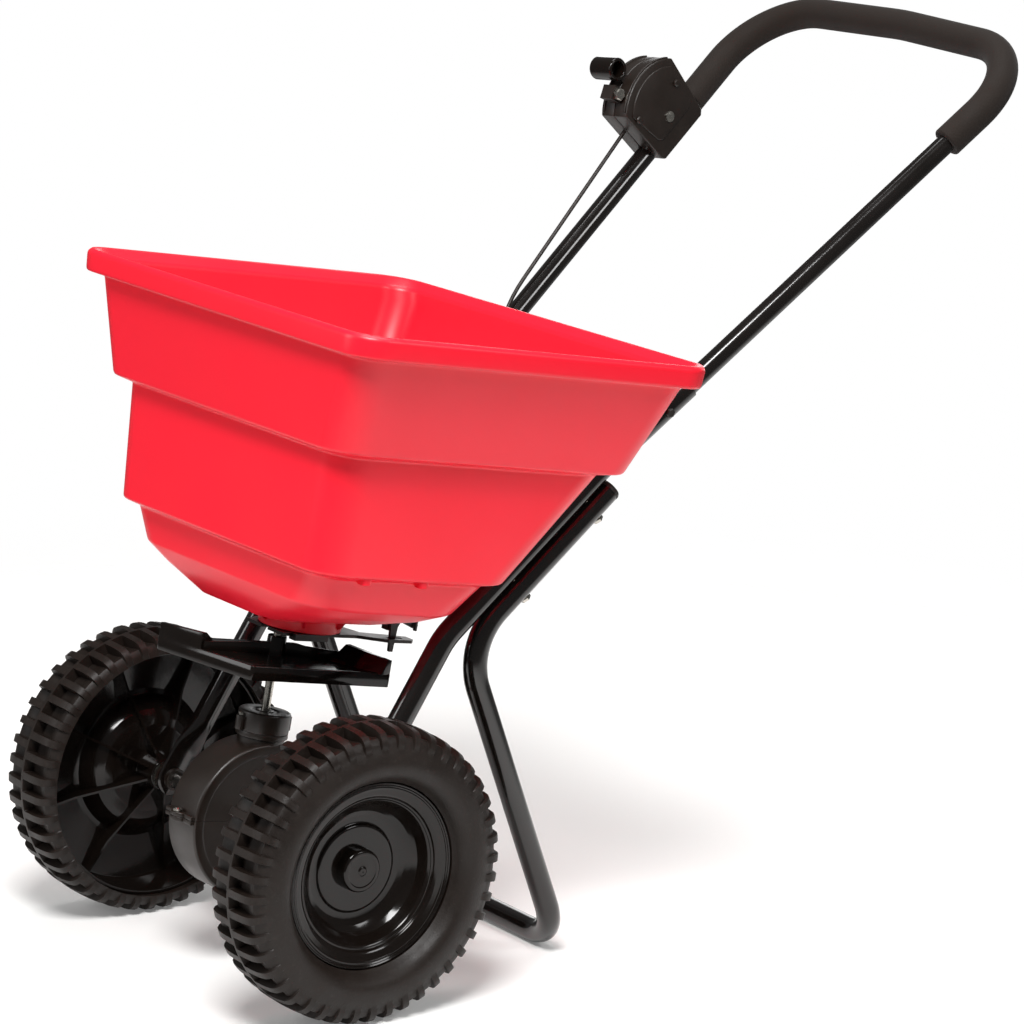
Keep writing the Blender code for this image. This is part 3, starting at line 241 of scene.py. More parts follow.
@dataclass(frozen=True)
class GlossMoulding(Finish):
    """Black polypropylene from a polished tool: a warm black with sharp soft-edged lights."""

    name: str = "gloss_black_polypropylene"
    colour: str = "0E0A08"
    shade: str = "15100D"
    roughness: float = 0.12
    wander: float = 0.03
    patch_mm: float = 45.0
    grain_mm: float = 9.0  # slow sink waves of a thick moulding
    grain_depth_mm: float = 0.05
    ior: float = 1.38


@dataclass(frozen=True)
class GrainedMoulding(Finish):
    """Glass-filled nylon from an etched tool: a dull dark grey black with a fine grit."""

    name: str = "matte_black_nylon"
    colour: str = "17100B"
    shade: str = "1F1610"
    roughness: float = 0.40
    wander: float = 0.06
    patch_mm: float = 30.0
    grain_mm: float = 1.0  # etched grit is 0.1 mm; drawn coarser so that it shows
    grain_depth_mm: float = 0.05
    ior: float = 1.53


@dataclass(frozen=True)
class PowderCoat(Finish):
    """Gloss black powder coat on steel tube: a hard shine over a faint orange peel."""

    name: str = "gloss_black_powder_coat"
    colour: str = "0C0907"
    shade: str = "130E0C"
    roughness: float = 0.16
    wander: float = 0.03
    patch_mm: float = 40.0
    grain_mm: float = 2.5  # the peel's waves
    grain_depth_mm: float = 0.018
    ior: float = 1.52
    coat: float = 0.25


@dataclass(frozen=True)
class TreadRubber(Finish):
    """Solid moulded tyre rubber: matte, a little greyer where bloom and dust have settled."""

    name: str = "tyre_rubber"
    colour: str = "130C08"
    shade: str = "1C130D"
    roughness: float = 0.50
    wander: float = 0.07
    patch_mm: float = 22.0
    grain_mm: float = 1.6  # sand-blasted grain is 0.3 mm; drawn coarser so that it shows
    grain_depth_mm: float = 0.16
    ior: float = 1.38
    fleck_mm: float = 3.5
    dust: str = "3A3531"

    def marks(self, tree: Tree, place: Socket, colour: Socket) -> Socket:
        """Adds a thin dry dust in small flecks.

        Args:
            tree: The material's nodes.
            place: Where on the surface.
            colour: The rubber's own colour.

        Returns:
            The dusty colour.
        """
        flecks = add_node(tree, "ShaderNodeTexNoise", Vector=place,
                          Scale=1 / (self.fleck_mm * MM), Detail=4.0)
        amount = add_node(tree, "ShaderNodeMapRange", Value=flecks.outputs["Fac"], From_Min=0.56,
                          From_Max=0.74, To_Min=0.0, To_Max=0.20)
        return add_node(tree, "ShaderNodeMix", {"data_type": "RGBA"},
                        Factor=amount.outputs["Result"], in_6=colour,
                        in_7=linear(self.dust)).outputs[2]


@dataclass(frozen=True)
class FoamSkin(Finish):
    """Closed-cell nitrile foam sleeve: dead matte, with pores that pit its skin."""

    name: str = "grip_foam"
    colour: str = "17100B"
    shade: str = "1F1610"
    roughness: float = 0.82
    wander: float = 0.05
    patch_mm: float = 35.0
    grain_mm: float = 1.6  # pores are 0.3 mm; drawn coarser so that they show
    grain_depth_mm: float = 0.22
    ior: float = 1.36

    def relief(self, tree: Tree, place: Socket) -> Socket:
        """Round pores of many sizes."""
        return add_node(tree, "ShaderNodeTexVoronoi", {"feature": "SMOOTH_F1"}, Vector=place,
                        Scale=1 / (self.grain_mm * MM), Randomness=1.0).outputs["Distance"]

    def extras(self, shader: bpy.types.Node) -> None:
        """Gives the skin the faint edge glow of a soft fibrous surface."""
        shader.inputs["Sheen Weight"].default_value = 0.05
        shader.inputs["Sheen Roughness"].default_value = 0.5


@dataclass(frozen=True)
class ZincPlate(Finish):
    """Bright zinc plate on steel: pale grey, cloudy, with fine polishing lines."""

    name: str = "bright_zinc"
    colour: str = "C9C6BF"
    shade: str = "A9A59C"
    roughness: float = 0.27
    wander: float = 0.09
    patch_mm: float = 5.0
    grain_mm: float = 0.8
    grain_depth_mm: float = 0.02
    metallic: float = 1.0


@dataclass(frozen=True)
class TurnedSteel(Finish):
    """Cold-drawn steel bar with fine turning marks across it."""

    name: str = "turned_steel"
    colour: str = "B4B1AC"
    shade: str = "8F8B86"
    roughness: float = 0.30
    wander: float = 0.08
    patch_mm: float = 8.0
    grain_mm: float = 18.0  # holds three rings; real marks of 0.2 mm would be too fine to show
    grain_depth_mm: float = 0.02
    metallic: float = 1.0

    def relief(self, tree: Tree, place: Socket) -> Socket:
        """Rings left by the tool along the bar."""
        return add_node(tree, "ShaderNodeTexWave", {"bands_direction": "X"}, Vector=place,
                        Scale=1 / (self.grain_mm * MM), Distortion=1.5).outputs["Fac"]


@dataclass(frozen=True)
class StudioPaper(Finish):
    """White studio paper for the floor, which thins out to nothing away from the object.

    Attributes:
        reach: How far from the middle it is whole, in metres.
        fade: The width over which it thins out, in metres.
        glow: Strength of its own light, which keeps it white.
    """

    name: str = "studio_paper"
    colour: str = "F4F3F1"
    shade: str = "F1F0EE"
    roughness: float = 0.9
    wander: float = 0.02
    patch_mm: float = 700.0
    grain_mm: float = 8.0
    grain_depth_mm: float = 0.05
    reach: float = 0.75
    fade: float = 0.9
    glow: float = 0.12

    def build(self) -> bpy.types.Material:
        """Builds the paper and its fade.

        Returns:
            The material, ready to assign.
        """
        made = Finish.build(self)
        tree = made.node_tree
        shader = tree.nodes["Principled BSDF"]
        shader.inputs["Emission Color"].default_value = linear("FFFFFF")
        shader.inputs["Emission Strength"].default_value = self.glow
        place = add_node(tree, "ShaderNodeTexCoord").outputs["Object"]
        away = add_node(tree, "ShaderNodeVectorMath", {"operation": "LENGTH"}, in_0=place)
        share = add_node(tree, "ShaderNodeMapRange", {"interpolation_type": "SMOOTHSTEP"},
                         Value=away.outputs["Value"], From_Min=self.reach,
                         From_Max=self.reach + self.fade)
        clear = add_node(tree, "ShaderNodeBsdfTransparent")
        both = add_node(tree, "ShaderNodeMixShader", in_0=share.outputs["Result"],
                        in_1=shader.outputs[0], in_2=clear.outputs[0])
        tree.links.new(both.outputs[0], tree.nodes["Material Output"].inputs["Surface"])
        return made


FINISHES: dict[Slot, Finish] = {
    Slot.HOPPER: MouldedHopper(), Slot.GLOSS: GlossMoulding(), Slot.HOUSING: GrainedMoulding(),
    Slot.PAINT: PowderCoat(), Slot.TYRE: TreadRubber(), Slot.FOAM: FoamSkin(),
    Slot.ZINC: ZincPlate(), Slot.STEEL: TurnedSteel(),
}


# ---- shape tools, in millimetres


def shell(points: Sequence[Point], faces: Sequence[Sequence[int]]) -> Mesh:
    """Makes a mesh in metres, with its normals turned outwards.

    Args:
        points: The points, in millimetres.
        faces: The corners of each face, as places in the list of points.

    Returns:
        The mesh.
    """
    made = bpy.data.meshes.new("shape")
    made.from_pydata([tuple(c * MM for c in p) for p in points], [], [tuple(f) for f in faces])
    work = bmesh.new()
    work.from_mesh(made)
    bmesh.ops.recalc_face_normals(work, faces=work.faces)
    work.to_mesh(made)
    work.free()
    return made


def skin(loops: Sequence[Loop], ring: bool = False) -> Mesh:
    """Joins equal loops of points one after another.

    Args:
        loops: The loops, all with the same number of points.
        ring: Join the last loop to the first, where False caps both.

    Returns:
        The closed mesh.
    """
    points = [p for loop in loops for p in loop]
    count = len(loops[0])
    faces: list[tuple[int, ...]] = []
    for i in range(len(loops) if ring else len(loops) - 1):
        base, other = i * count, ((i + 1) % len(loops)) * count
        for j in range(count):
            k = (j + 1) % count
            faces.append((base + j, base + k, other + k, other + j))
    if not ring:
        faces.append(tuple(range(count)))
        faces.append(tuple(range((len(loops) - 1) * count, len(loops) * count)))
    return shell(points, faces)


def softened(points: Sequence[Point], reach: float, steps: int = 4,
             closed: bool = False) -> list[tuple[float, ...]]:
    """Rounds each corner of a line with a short curve.

    Args:
        points: The corners, of any number of dimensions.
        reach: How far from a corner its curve starts.
        steps: Pieces in each curve.
        closed: The line's ends meet.

    Returns:
        The rounded line.
    """
    longest = 0.46  # the most of a straight that one corner's curve may take
    count = len(points)
    line: list[tuple[float, ...]] = []
    for i, here in enumerate(points):
        if not closed and i in (0, count - 1):
            line.append(tuple(here))
            continue
        ends = []
        for other in (points[i - 1], points[(i + 1) % count]):
            far = math.dist(here, other)
            share = min(longest, reach / far) if far else 0.0
            ends.append([a + (b - a) * share for a, b in zip(here, other)])
        for k in range(steps + 1):
            t = k / steps
            line.append(tuple((1 - t) ** 2 * a + 2 * t * (1 - t) * b + t * t * c
                              for a, b, c in zip(ends[0], here, ends[1])))
    return line


def bevelled(mesh: Mesh, width: float, segments: int = 3, angle: float = 32.0) -> Mesh:
    """Rounds a mesh's sharp edges.

    Args:
        mesh: The mesh, which is changed.
        width: Width of the rounding.
        segments: Faces across it.
        angle: Edges sharper than this, in degrees, are rounded.

    Returns:
        The same mesh.
    """
    work = bmesh.new()
    work.from_mesh(mesh)
    sharp = [e for e in work.edges
             if len(e.link_faces) == 2 and e.calc_face_angle(0.0) > math.radians(angle)]
    bmesh.ops.bevel(work, geom=sharp, offset=width * MM, segments=segments, profile=0.5,
                    affect="EDGES", clamp_overlap=True)
    work.to_mesh(mesh)
    work.free()
    return mesh


def turned(profile: Sequence[Point], steps: int, axis: Axis = Axis.X, edge: float = 0.0,
           edge_steps: int = 2, ring: bool = True,
           sweep: tuple[float, float] | None = None) -> Mesh:
    """Turns a section about an axis.

    Args:
        profile: (radius, along) points.
        steps: Pieces round the turn.
        axis: What it turns about.
        edge: Rounding of the section's corners.
        edge_steps: Pieces in each rounding.
        ring: The section is a closed ring, where False caps both its ends.
        sweep: First and last angle of part of a turn, whose ends are closed flat.

    Returns:
        The closed mesh.
    """
    line = softened(profile, edge, edge_steps, closed=True) if edge else profile
    first, last = sweep or (0.0, 2 * math.pi)
    rows: list[Loop] = []
    for j in range(steps + (1 if sweep else 0)):
        angle = first + (last - first) * j / steps
        row: Loop = []
        for radius, along in line:
            a, b = radius * math.cos(angle), radius * math.sin(angle)
            row.append((along, a, b) if axis is Axis.X else (a, b, along))
        rows.append(row)
    if ring or sweep:
        return skin(rows, ring=not sweep)
    return skin([[row[k] for row in rows] for k in range(len(line))])


def extruded(outline: Sequence[Point], low: float, high: float, edge: float,
             axis: Axis = Axis.X) -> Mesh:
    """Carries a flat outline from one level to another, with bevelled edges.

    Args:
        outline: The outline's points.
        low: The first level.
        high: The second level.
        edge: Width of the bevel round both ends.
        axis: The way it is carried.

    Returns:
        The closed mesh.
    """
    loops = [[(level, a, b) if axis is Axis.X else (a, b, level) for a, b in outline]
             for level in (low, high)]
    return bevelled(skin(loops), edge)


def joined(parts: Sequence[Mesh]) -> Mesh:
    """Puts several closed shells into one mesh.

    Args:
        parts: The shells.

    Returns:
        The mesh that holds them all.
    """
    work = bmesh.new()
    for part in parts:
        work.from_mesh(part)
    made = bpy.data.meshes.new("joined")
    work.to_mesh(made)
    work.free()
    return made


def rounded_path(corners: Sequence[Vector], radii: Sequence[float],
                 step: float = 4.0) -> list[Vector]:
    """Points along straight runs joined by arcs.

    Args:
        corners: The ends and corners.
        radii: The radius at each inner corner.
        step: Largest turn between points, in degrees.

    Returns:
        The points.
    """
    path = [Vector(corners[0])]
    for i, radius in enumerate(radii, 1):
        before, here, after = (Vector(corners[k]) for k in (i - 1, i, i + 1))
        into, out = (here - before).normalized(), (after - here).normalized()
        turn = into.angle(out)
        if turn < 1e-4:
            path.append(here)
            continue
        start = here - into * radius * math.tan(turn / 2)
        normal = (out - into * into.dot(out)).normalized()
        centre = start + normal * radius
        parts = max(2, math.ceil(turn / math.radians(step)))
        for k in range(parts + 1):
            angle = turn * k / parts
            path.append(centre - normal * radius * math.cos(angle)
                        + into * radius * math.sin(angle))
    path.append(Vector(corners[-1]))
    return path


def swept(path: Sequence[Vector], radius: float, sides: int,
          shape: Callable[[Vector], tuple[float, float]] | None = None,
          bore: tuple[float, float] | None = None, round_ends: float = 0.0) -> Mesh:
    """Sweeps a round section along a path.

    Args:
        path: The centre line.
        radius: The section's radius.
        sides: Points round the section.
        shape: Gives the section's two scales at a point of the path.
        bore: Radius and depth of an open hole in the far end.
        round_ends: Radius of the rounding at both ends.

    Returns:
        The closed mesh.
    """
    loops: list[Loop] = []
    side = Vector((1.0, 0.0, 0.0))
    turns = [2 * math.pi * j / sides for j in range(sides)]
    lifts = [math.radians(30 * k) for k in range(4)]

    def section(centre: Vector, along: Vector, scale: float) -> None:
        """Adds a section square to the path, turned as little as it can be from the last.

        Args:
            centre: Its centre.
            along: The path's direction there.
            scale: Its share of the full radius.
        """
        nonlocal side
        side = (side - along * side.dot(along)).normalized()
        other = along.cross(side)
        across, deep = (scale * radius * k for k in (shape(centre) if shape else (1.0, 1.0)))
        loops.append([centre + side * (across * math.cos(a)) + other * (deep * math.sin(a))
                      for a in turns])

    last = len(path) - 1
    for i, point in enumerate(path):
        along = (path[min(i + 1, last)] - path[max(i - 1, 0)]).normalized()
        if i == 0 and abs(along.x) > 0.9:
            side = Vector((0.0, 1.0, 0.0))
        if i in (0, last) and round_ends:
            inward = along if i == 0 else -along
            for lift in lifts if i == 0 else lifts[::-1]:
                inset = round_ends * (1 - math.sin(lift))
                shift = inward * (round_ends * (1 - math.cos(lift)))
                section(point + shift, along, 1 - inset / radius)
        else:
            section(point, along, 1.0)
    if bore:
        along = (path[-1] - path[-2]).normalized()
        for depth in (0.0, bore[1]):
            section(path[-1] - along * depth, along, bore[0] / radius)
    return skin(loops)


def shifted(x: float, y: float, z: float) -> Matrix:
    """A move by millimetres."""
    return Matrix.Translation(Vector((x, y, z)) * MM)


def carried(matrix: Matrix, *point: float) -> Vector:
    """Where a matrix takes a point, both in millimetres."""
    return (matrix @ (Vector(point) * MM)) / MM


# ---- placing pieces


@dataclass
class Bench:
    """Where finished pieces are put, and what every sub-assembly measures from.

    Attributes:
        axle: Centre of the axle, in metres.
        lean: How far the hopper axis leans back, in radians.
        gap: Clearance between fixed pieces.
        materials: One material for each slot, made once.
    """

    axle: Vector = field(default_factory=lambda: sum(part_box("axle"), Vector()) / 2)
    lean: float = math.radians(8.5)
    gap: float = 0.3
    materials: dict[Slot, bpy.types.Material] = field(default_factory=dict)

    @property
    def height(self) -> float:
        """The axle's height over the ground, in millimetres."""
        return self.axle.z / MM

    @property
    def at_axle(self) -> Matrix:
        """The frame of the axle."""
        return Matrix.Translation(self.axle)

    @property
    def leaning(self) -> Matrix:
        """The frame of the hopper, its shaft and the gearbox."""
        return self.at_axle @ Matrix.Rotation(-self.lean, 4, "X")

    def finish(self, slot: Slot) -> bpy.types.Material:
        """The material of a slot."""
        if slot not in self.materials:
            self.materials[slot] = FINISHES[slot].build()
        return self.materials[slot]

    def put(self, name: str, mesh: Mesh, slot: Slot, *nodes: str, matrix: Matrix | None = None,
            body: Body = Body.FRAME, angle: float = 35.0) -> None:
        """Adds a piece in place of the nodes it stands for.

        Args:
            name: The piece's name.
            mesh: Its mesh.
            slot: The slot its finish comes from.
            *nodes: The nodes it replaces.
            matrix: Moves the mesh into place.
            body: The body it rides on.
            angle: Edges sharper than this, in degrees, stay sharp.
        """
        if matrix is not None:
            mesh.transform(matrix)
        mesh.name = name
        mesh.shade_smooth()
        mesh.set_sharp_from_angle(angle=math.radians(angle))
        mesh.materials.append(self.finish(slot))
        piece = bpy.data.objects.new(name, mesh)
        bpy.context.scene.collection.objects.link(piece)
        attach(piece, body.value)
        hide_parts(*nodes)
        log.info("%s: %d faces on %s", name, len(mesh.polygons), body.value)

    def dress(self, *nodes: str) -> None:
        """Gives carried-over nodes the finish of their own slot.

        Args:
            *nodes: The nodes' names.
        """
        slots = {row["node"]: row["material_slot"] for row in frame["record"]["subparts"]}
        for node in nodes:
            materials = frame["nodes"][node].data.materials
            materials.clear()
            materials.append(self.finish(Slot(slots[node])))
            log.info("%s: dressed", node)


# ---- wheels


@dataclass
class Wheel:
    """A lugged tyre on a moulded wheel with a deep bowl, a hub cap and thin ribs behind.

    Attributes:
        side: One for the driven wheel, minus one for the free one.
        lug_share: Half a lug's width, as a share of the pitch.
        flank: Half the width of a lug's flank, as a share of the pitch.
        barrel: Radius that the tyre sits on.
        face: Radius of the tyre's opening in front.
        pocket: (depth below the crest, along) of the floor between lugs, as for lug, the
            lugs' crest, and sidewall.
        rim: (radius, along) of the rings and the shoulder inside the face, as for bowl, rear,
            rib_outline, which ends at the barrel, and cap_outline.
    """

    bench: Bench
    side: int
    name: str
    body: Body
    radius: float = 135.0
    offset: float = 175.0
    half_width: float = 33.0
    lugs: int = 44
    lug_share: float = 0.20
    flank: float = 0.02
    barrel: float = 118.0
    face: float = 84.8
    spokes: int = 8
    first_spoke: float = 0.35
    rib_half: float = 1.1
    pocket: Table = ((10.0, 3.2), (9.8, 12.0), (8.6, 20.0), (7.2, 25.5), (7.6, 29.0),
                     (10.0, 31.4), (13.6, 32.8), (16.0, 33.6), (17.6, 34.4))
    lug: Table = ((0.1, 2.6), (0.3, 12.0), (0.8, 20.0), (1.9, 26.4), (3.8, 30.2),
                  (7.4, 33.2), (11.6, 34.6), (15.2, 35.0), (17.4, 34.6))
    sidewall: Table = ((20.5, 35.6), (25, 37.2), (30, 38.3), (35, 38.4), (39.5, 36.8),
                       (43.5, 33.6))
    rim: Table = ((83.6, 23.2), (82.6, 22.2), (81.6, 22.9), (80.6, 21.9), (79.4, 22.4),
                  (78.2, 21.6), (73, 20.4), (70.6, 19.0), (69.6, 16.6), (68.2, 16.0),
                  (67.2, 16.6), (65.6, 15.2))
    bowl: Table = ((63.4, 10.8), (60.6, 5.6), (57.0, 1.2), (52.6, -2.2), (47.4, -4.2),
                   (42.4, -4.9), (40.6, -4.6), (39.4, -2.4), (37.8, -1.9), (24, -2.2),
                   (17, -2.4), (8.3, -4.9))
    rear: Table = ((8.3, -33.6), (14.4, -33.6), (15.2, -32.6), (16.8, -10), (21, -8.9),
                   (42, -8.9), (50, -6), (56, -2.5), (61, 3), (67, 12), (72, 13.6))
    rib_outline: Table = ((72, 14.2), (60, 3.2), (49, -5.6), (40, -8.4), (16, -8.4), (16, -27),
                          (40, -16), (80, 2))
    cap_outline: Table = ((9, -4.6), (19.7, -4.6), (19.9, -2.0), (19.5, 6.6), (18.0, 8.3),
                          (15.0, 8.5), (14.2, 8.1), (4.4, 8.1), (3.6, 9.1), (0.3, 9.2),
                          (0.3, 5.2), (9, 5.2))

    def section(self) -> list[tuple[Point, Point]]:
        """The tyre's section from the inner bead over the tread to the outer bead.

        Returns:
            For each place the (radius, along) of the pocket's floor and of the lug's crest.
        """
        r, w = self.radius, self.half_width
        floor, crest, wall = ([(r - drop, along) for drop, along in table]
                              for table in (self.pocket, self.lug, self.sidewall))
        half = [((r, 0.0),) * 2, ((r - 0.05, 1.5),) * 2, *zip(floor, crest)]
        reach = w + 1.3  # the inner side stays clear of the frame tube
        inner = [((a, -min(b, reach)), (c, -min(d, reach))) for (a, b), (c, d) in half[:0:-1]]
        bead, face = self.barrel + 0.3, self.face + 0.7
        lip = [((bead, 3.0 - w),) * 2, ((bead, -w - 0.4),) * 2, ((bead + 0.5, -w - 1.1),) * 2]
        wall += [(face + 3.0, 28.8), (face + 1.2, 25.4), (face, 23.8), (face, 20.0),
                 (self.barrel, 19.0)]
        return lip + inner + half + [(p, p) for p in wall]

    def tread(self) -> Mesh:
        """The tyre: bars that stagger about a thin centre rib and bend down over each shoulder.

        Returns:
            The tyre's mesh.
        """
        top, foot = self.lug_share - self.flank, self.lug_share + self.flank
        fractions = sorted({-0.5, 0.0, *(s * f for f in (top, foot, 0.5 - foot, 0.5 - top)
                                         for s in (1, -1))})
        line = self.section()
        rows: list[Loop] = []
        for pitch in range(self.lugs):
            for fraction in fractions:
                angle = 2 * math.pi * (pitch + fraction) / self.lugs
                row: Loop = []
                for low, high in line:
                    here = fraction if low[1] > 0 else (fraction + 1.0) % 1.0 - 0.5
                    radius, along = high if abs(here) < self.lug_share else low
                    row.append((self.side * along, radius * math.cos(angle),
                                radius * math.sin(angle)))
                rows.append(row)
        return skin(rows, ring=True)

    def dish(self) -> Mesh:
        """The wheel: rings at the rim, a flat shoulder, a groove, the bowl and the sunk disc.

        Returns:
            The wheel's mesh.
        """
        barrel, flange = self.barrel, self.barrel - 4
        line = [(barrel, 18.4), (self.face + 0.1, 18.4), (self.face, 22.6), *self.rim, *self.bowl,
                *self.rear, (barrel - 5, 14.8), (flange, 12), (flange, -27), (barrel, -27)]
        return turned([(r, self.side * along) for r, along in line], 120, edge=0.7)

    def rib(self, turn: float) -> Mesh:
        """A thin rib behind the wheel's face, from the hub to the barrel.

        Args:
            turn: Its angle round the wheel.

        Returns:
            The rib's mesh.
        """
        end = self.barrel - 3.4
        outline = [(end, 14.4), *self.rib_outline, (end, 8)]
        cos, sin = math.cos(turn), math.sin(turn)
        return skin([[(self.side * along, r * cos - across * sin, r * sin + across * cos)
                      for r, along in outline] for across in (-self.rib_half, self.rib_half)])

    def build(self) -> None:
        """Builds the tyre, the wheel with its ribs and the cap."""
        put, name = self.bench.put, self.name
        spot = self.bench.at_axle @ shifted(self.side * self.offset, 0, 0)
        put(f"tyre_tread_{name}", self.tread(), Slot.TYRE, f"tyre_{name}", matrix=spot,
            body=self.body, angle=30)
        ribs = [self.rib(2 * math.pi * (k + self.first_spoke) / self.spokes)
                for k in range(self.spokes)]
        put(f"wheel_dish_{name}", joined([self.dish(), *ribs]), Slot.GLOSS, f"wheel_{name}",
            matrix=spot, body=self.body)
        cap = turned([(r, self.side * along) for r, along in self.cap_outline], 64, edge=0.6)
        put(f"hub_cap_round_{name}", cap, Slot.GLOSS, f"hub_cap_{name}", matrix=spot,
            body=self.body)


# ---- gearbox


@dataclass
class Gearbox:
    """The split drum round the axle gears, with its pinion cap.

    Attributes:
        cap_top: Height of the cap's top over the axle.
        cap_upper: Height of the cap's upper layer.
        ear_half: Half the width of a screw ear.
        ear_seat: Distance of the ears' round beyond the drum.
        ear_round: How far the round goes beyond that.
        lip: Reach of the joint's lip beyond the drum.
        root: How far the ears and lips go into the drum.
        flange: Thickness of the ears and lips in each half.
        lip_share: The upper lip's share of that, which keeps it below the ears' top.
        flank: (radius, distance in from the side) of the drum's side, out to its rim.
        boss: (radius, height over the drum) of the pinion's boss.
    """

    bench: Bench
    radius: float = 72.0
    half_width: float = 22.0
    cap_radius: float = 24.0
    cap_top: float = 99.0
    cap_upper: float = 19.0
    ear_half: float = 9.0
    ear_seat: float = 3.2
    ear_round: float = 7.6
    lip: float = 4.2
    root: float = 2.5
    flange: float = 4.0
    lip_share: float = 0.92
    flank: Table = ((10, 3.2), (26, 3.2), (28, 1.7), (61, 1.7), (62.5, 0), (70.4, 0), (72, 1.6))
    boss: Table = ((4, -8), (21.4, -8), (21.8, 2.4), (21.2, 3), (4, 3))

    def half(self, up: bool) -> Mesh:
        """Half of the drum: a turned case, a joint flange and two ears.

        Args:
            up: The upper half, which also holds the pinion's boss.

        Returns:
            The half's mesh.
        """
        r, w, sign = self.radius, self.half_width, 1 if up else -1
        line = [(a, b - w) for a, b in self.flank] + [(a, w - b) for a, b in self.flank[::-1]]
        tilt, turn = self.bench.gap / 2 / r, 0.0 if up else math.pi
        parts = [turned(line, 60, edge=0.8, sweep=(turn + tilt, turn + math.pi - tilt))]
        z0, z1 = sorted((sign * self.bench.gap / 2, sign * self.flange))
        for end in (-1, 1):
            root = end * (r - self.root)
            arc = [(-self.ear_half * math.cos(a),
                    end * (r + self.ear_seat + self.ear_round * math.sin(a)))
                   for a in (math.pi * k / 12 for k in range(13))]
            ear = [(-self.ear_half, root), *arc, (self.ear_half, root)]
            parts.append(extruded(ear, z0, z1, 0.7, Axis.Z))
            side, tip = w - 1.2, end * (r + self.lip)
            lip = [(-side, root), (-side, tip), (side, tip), (side, root)]
            parts.append(extruded(lip, z0, z1 * self.lip_share if up else z1, 0.7, Axis.Z))
        if up:
            parts.append(turned([(a, r + over) for a, over in self.boss], 64, Axis.Z))
        return joined(parts)

    def cap(self) -> tuple[Mesh, Mesh]:
        """The two layers of the pinion housing, the upper one with its screw ears.

        Returns:
            The lower and the upper layer.
        """
        r, top, mid = self.cap_radius, self.cap_top, self.cap_top - self.cap_upper
        base = self.radius + 3 + self.bench.gap
        lower = turned([(10.1, base), (r, base), (r, mid), (10.1, mid)], 72, Axis.Z, 0.5)
        line = [(4.1, mid + 0.3), (r, mid + 0.3), (r, top - 1.4), (r - 1.4, top), (13, top),
                (12, top - 1.2), (8.4, top - 1.2), (8.0, top), (4.1, top)]
        parts = [turned(line, 72, Axis.Z, 0.5)]
        low, high = mid + 1, top - 5.4
        for end in (-1, 1):
            ear = turned([(2.0, low), (5.0, low), (5.0, high), (2.0, high)], 36, Axis.Z, 0.4)
            ear.transform(shifted(0, end * (r + 0.7), 0))
            parts.append(ear)
        return lower, joined(parts)

    def build(self) -> None:
        """Builds the drum halves and the cap, and dresses their screws."""
        lower, upper = self.cap()
        for name, mesh, node in (("gear_case_upper", self.half(True), "gearbox_upper"),
                                 ("gear_case_lower", self.half(False), "gearbox_lower"),
                                 ("pinion_seat", lower, "pinion_housing"),
                                 ("pinion_lid", upper, "pinion_cap")):
            self.bench.put(name, mesh, Slot.HOUSING, node, matrix=self.bench.leaning)
        self.bench.dress("gearbox_screw_front", "gearbox_screw_rear", "cap_screw_front",
                         "cap_screw_rear", "crown_gear", "pinion_gear")


# ---- impeller


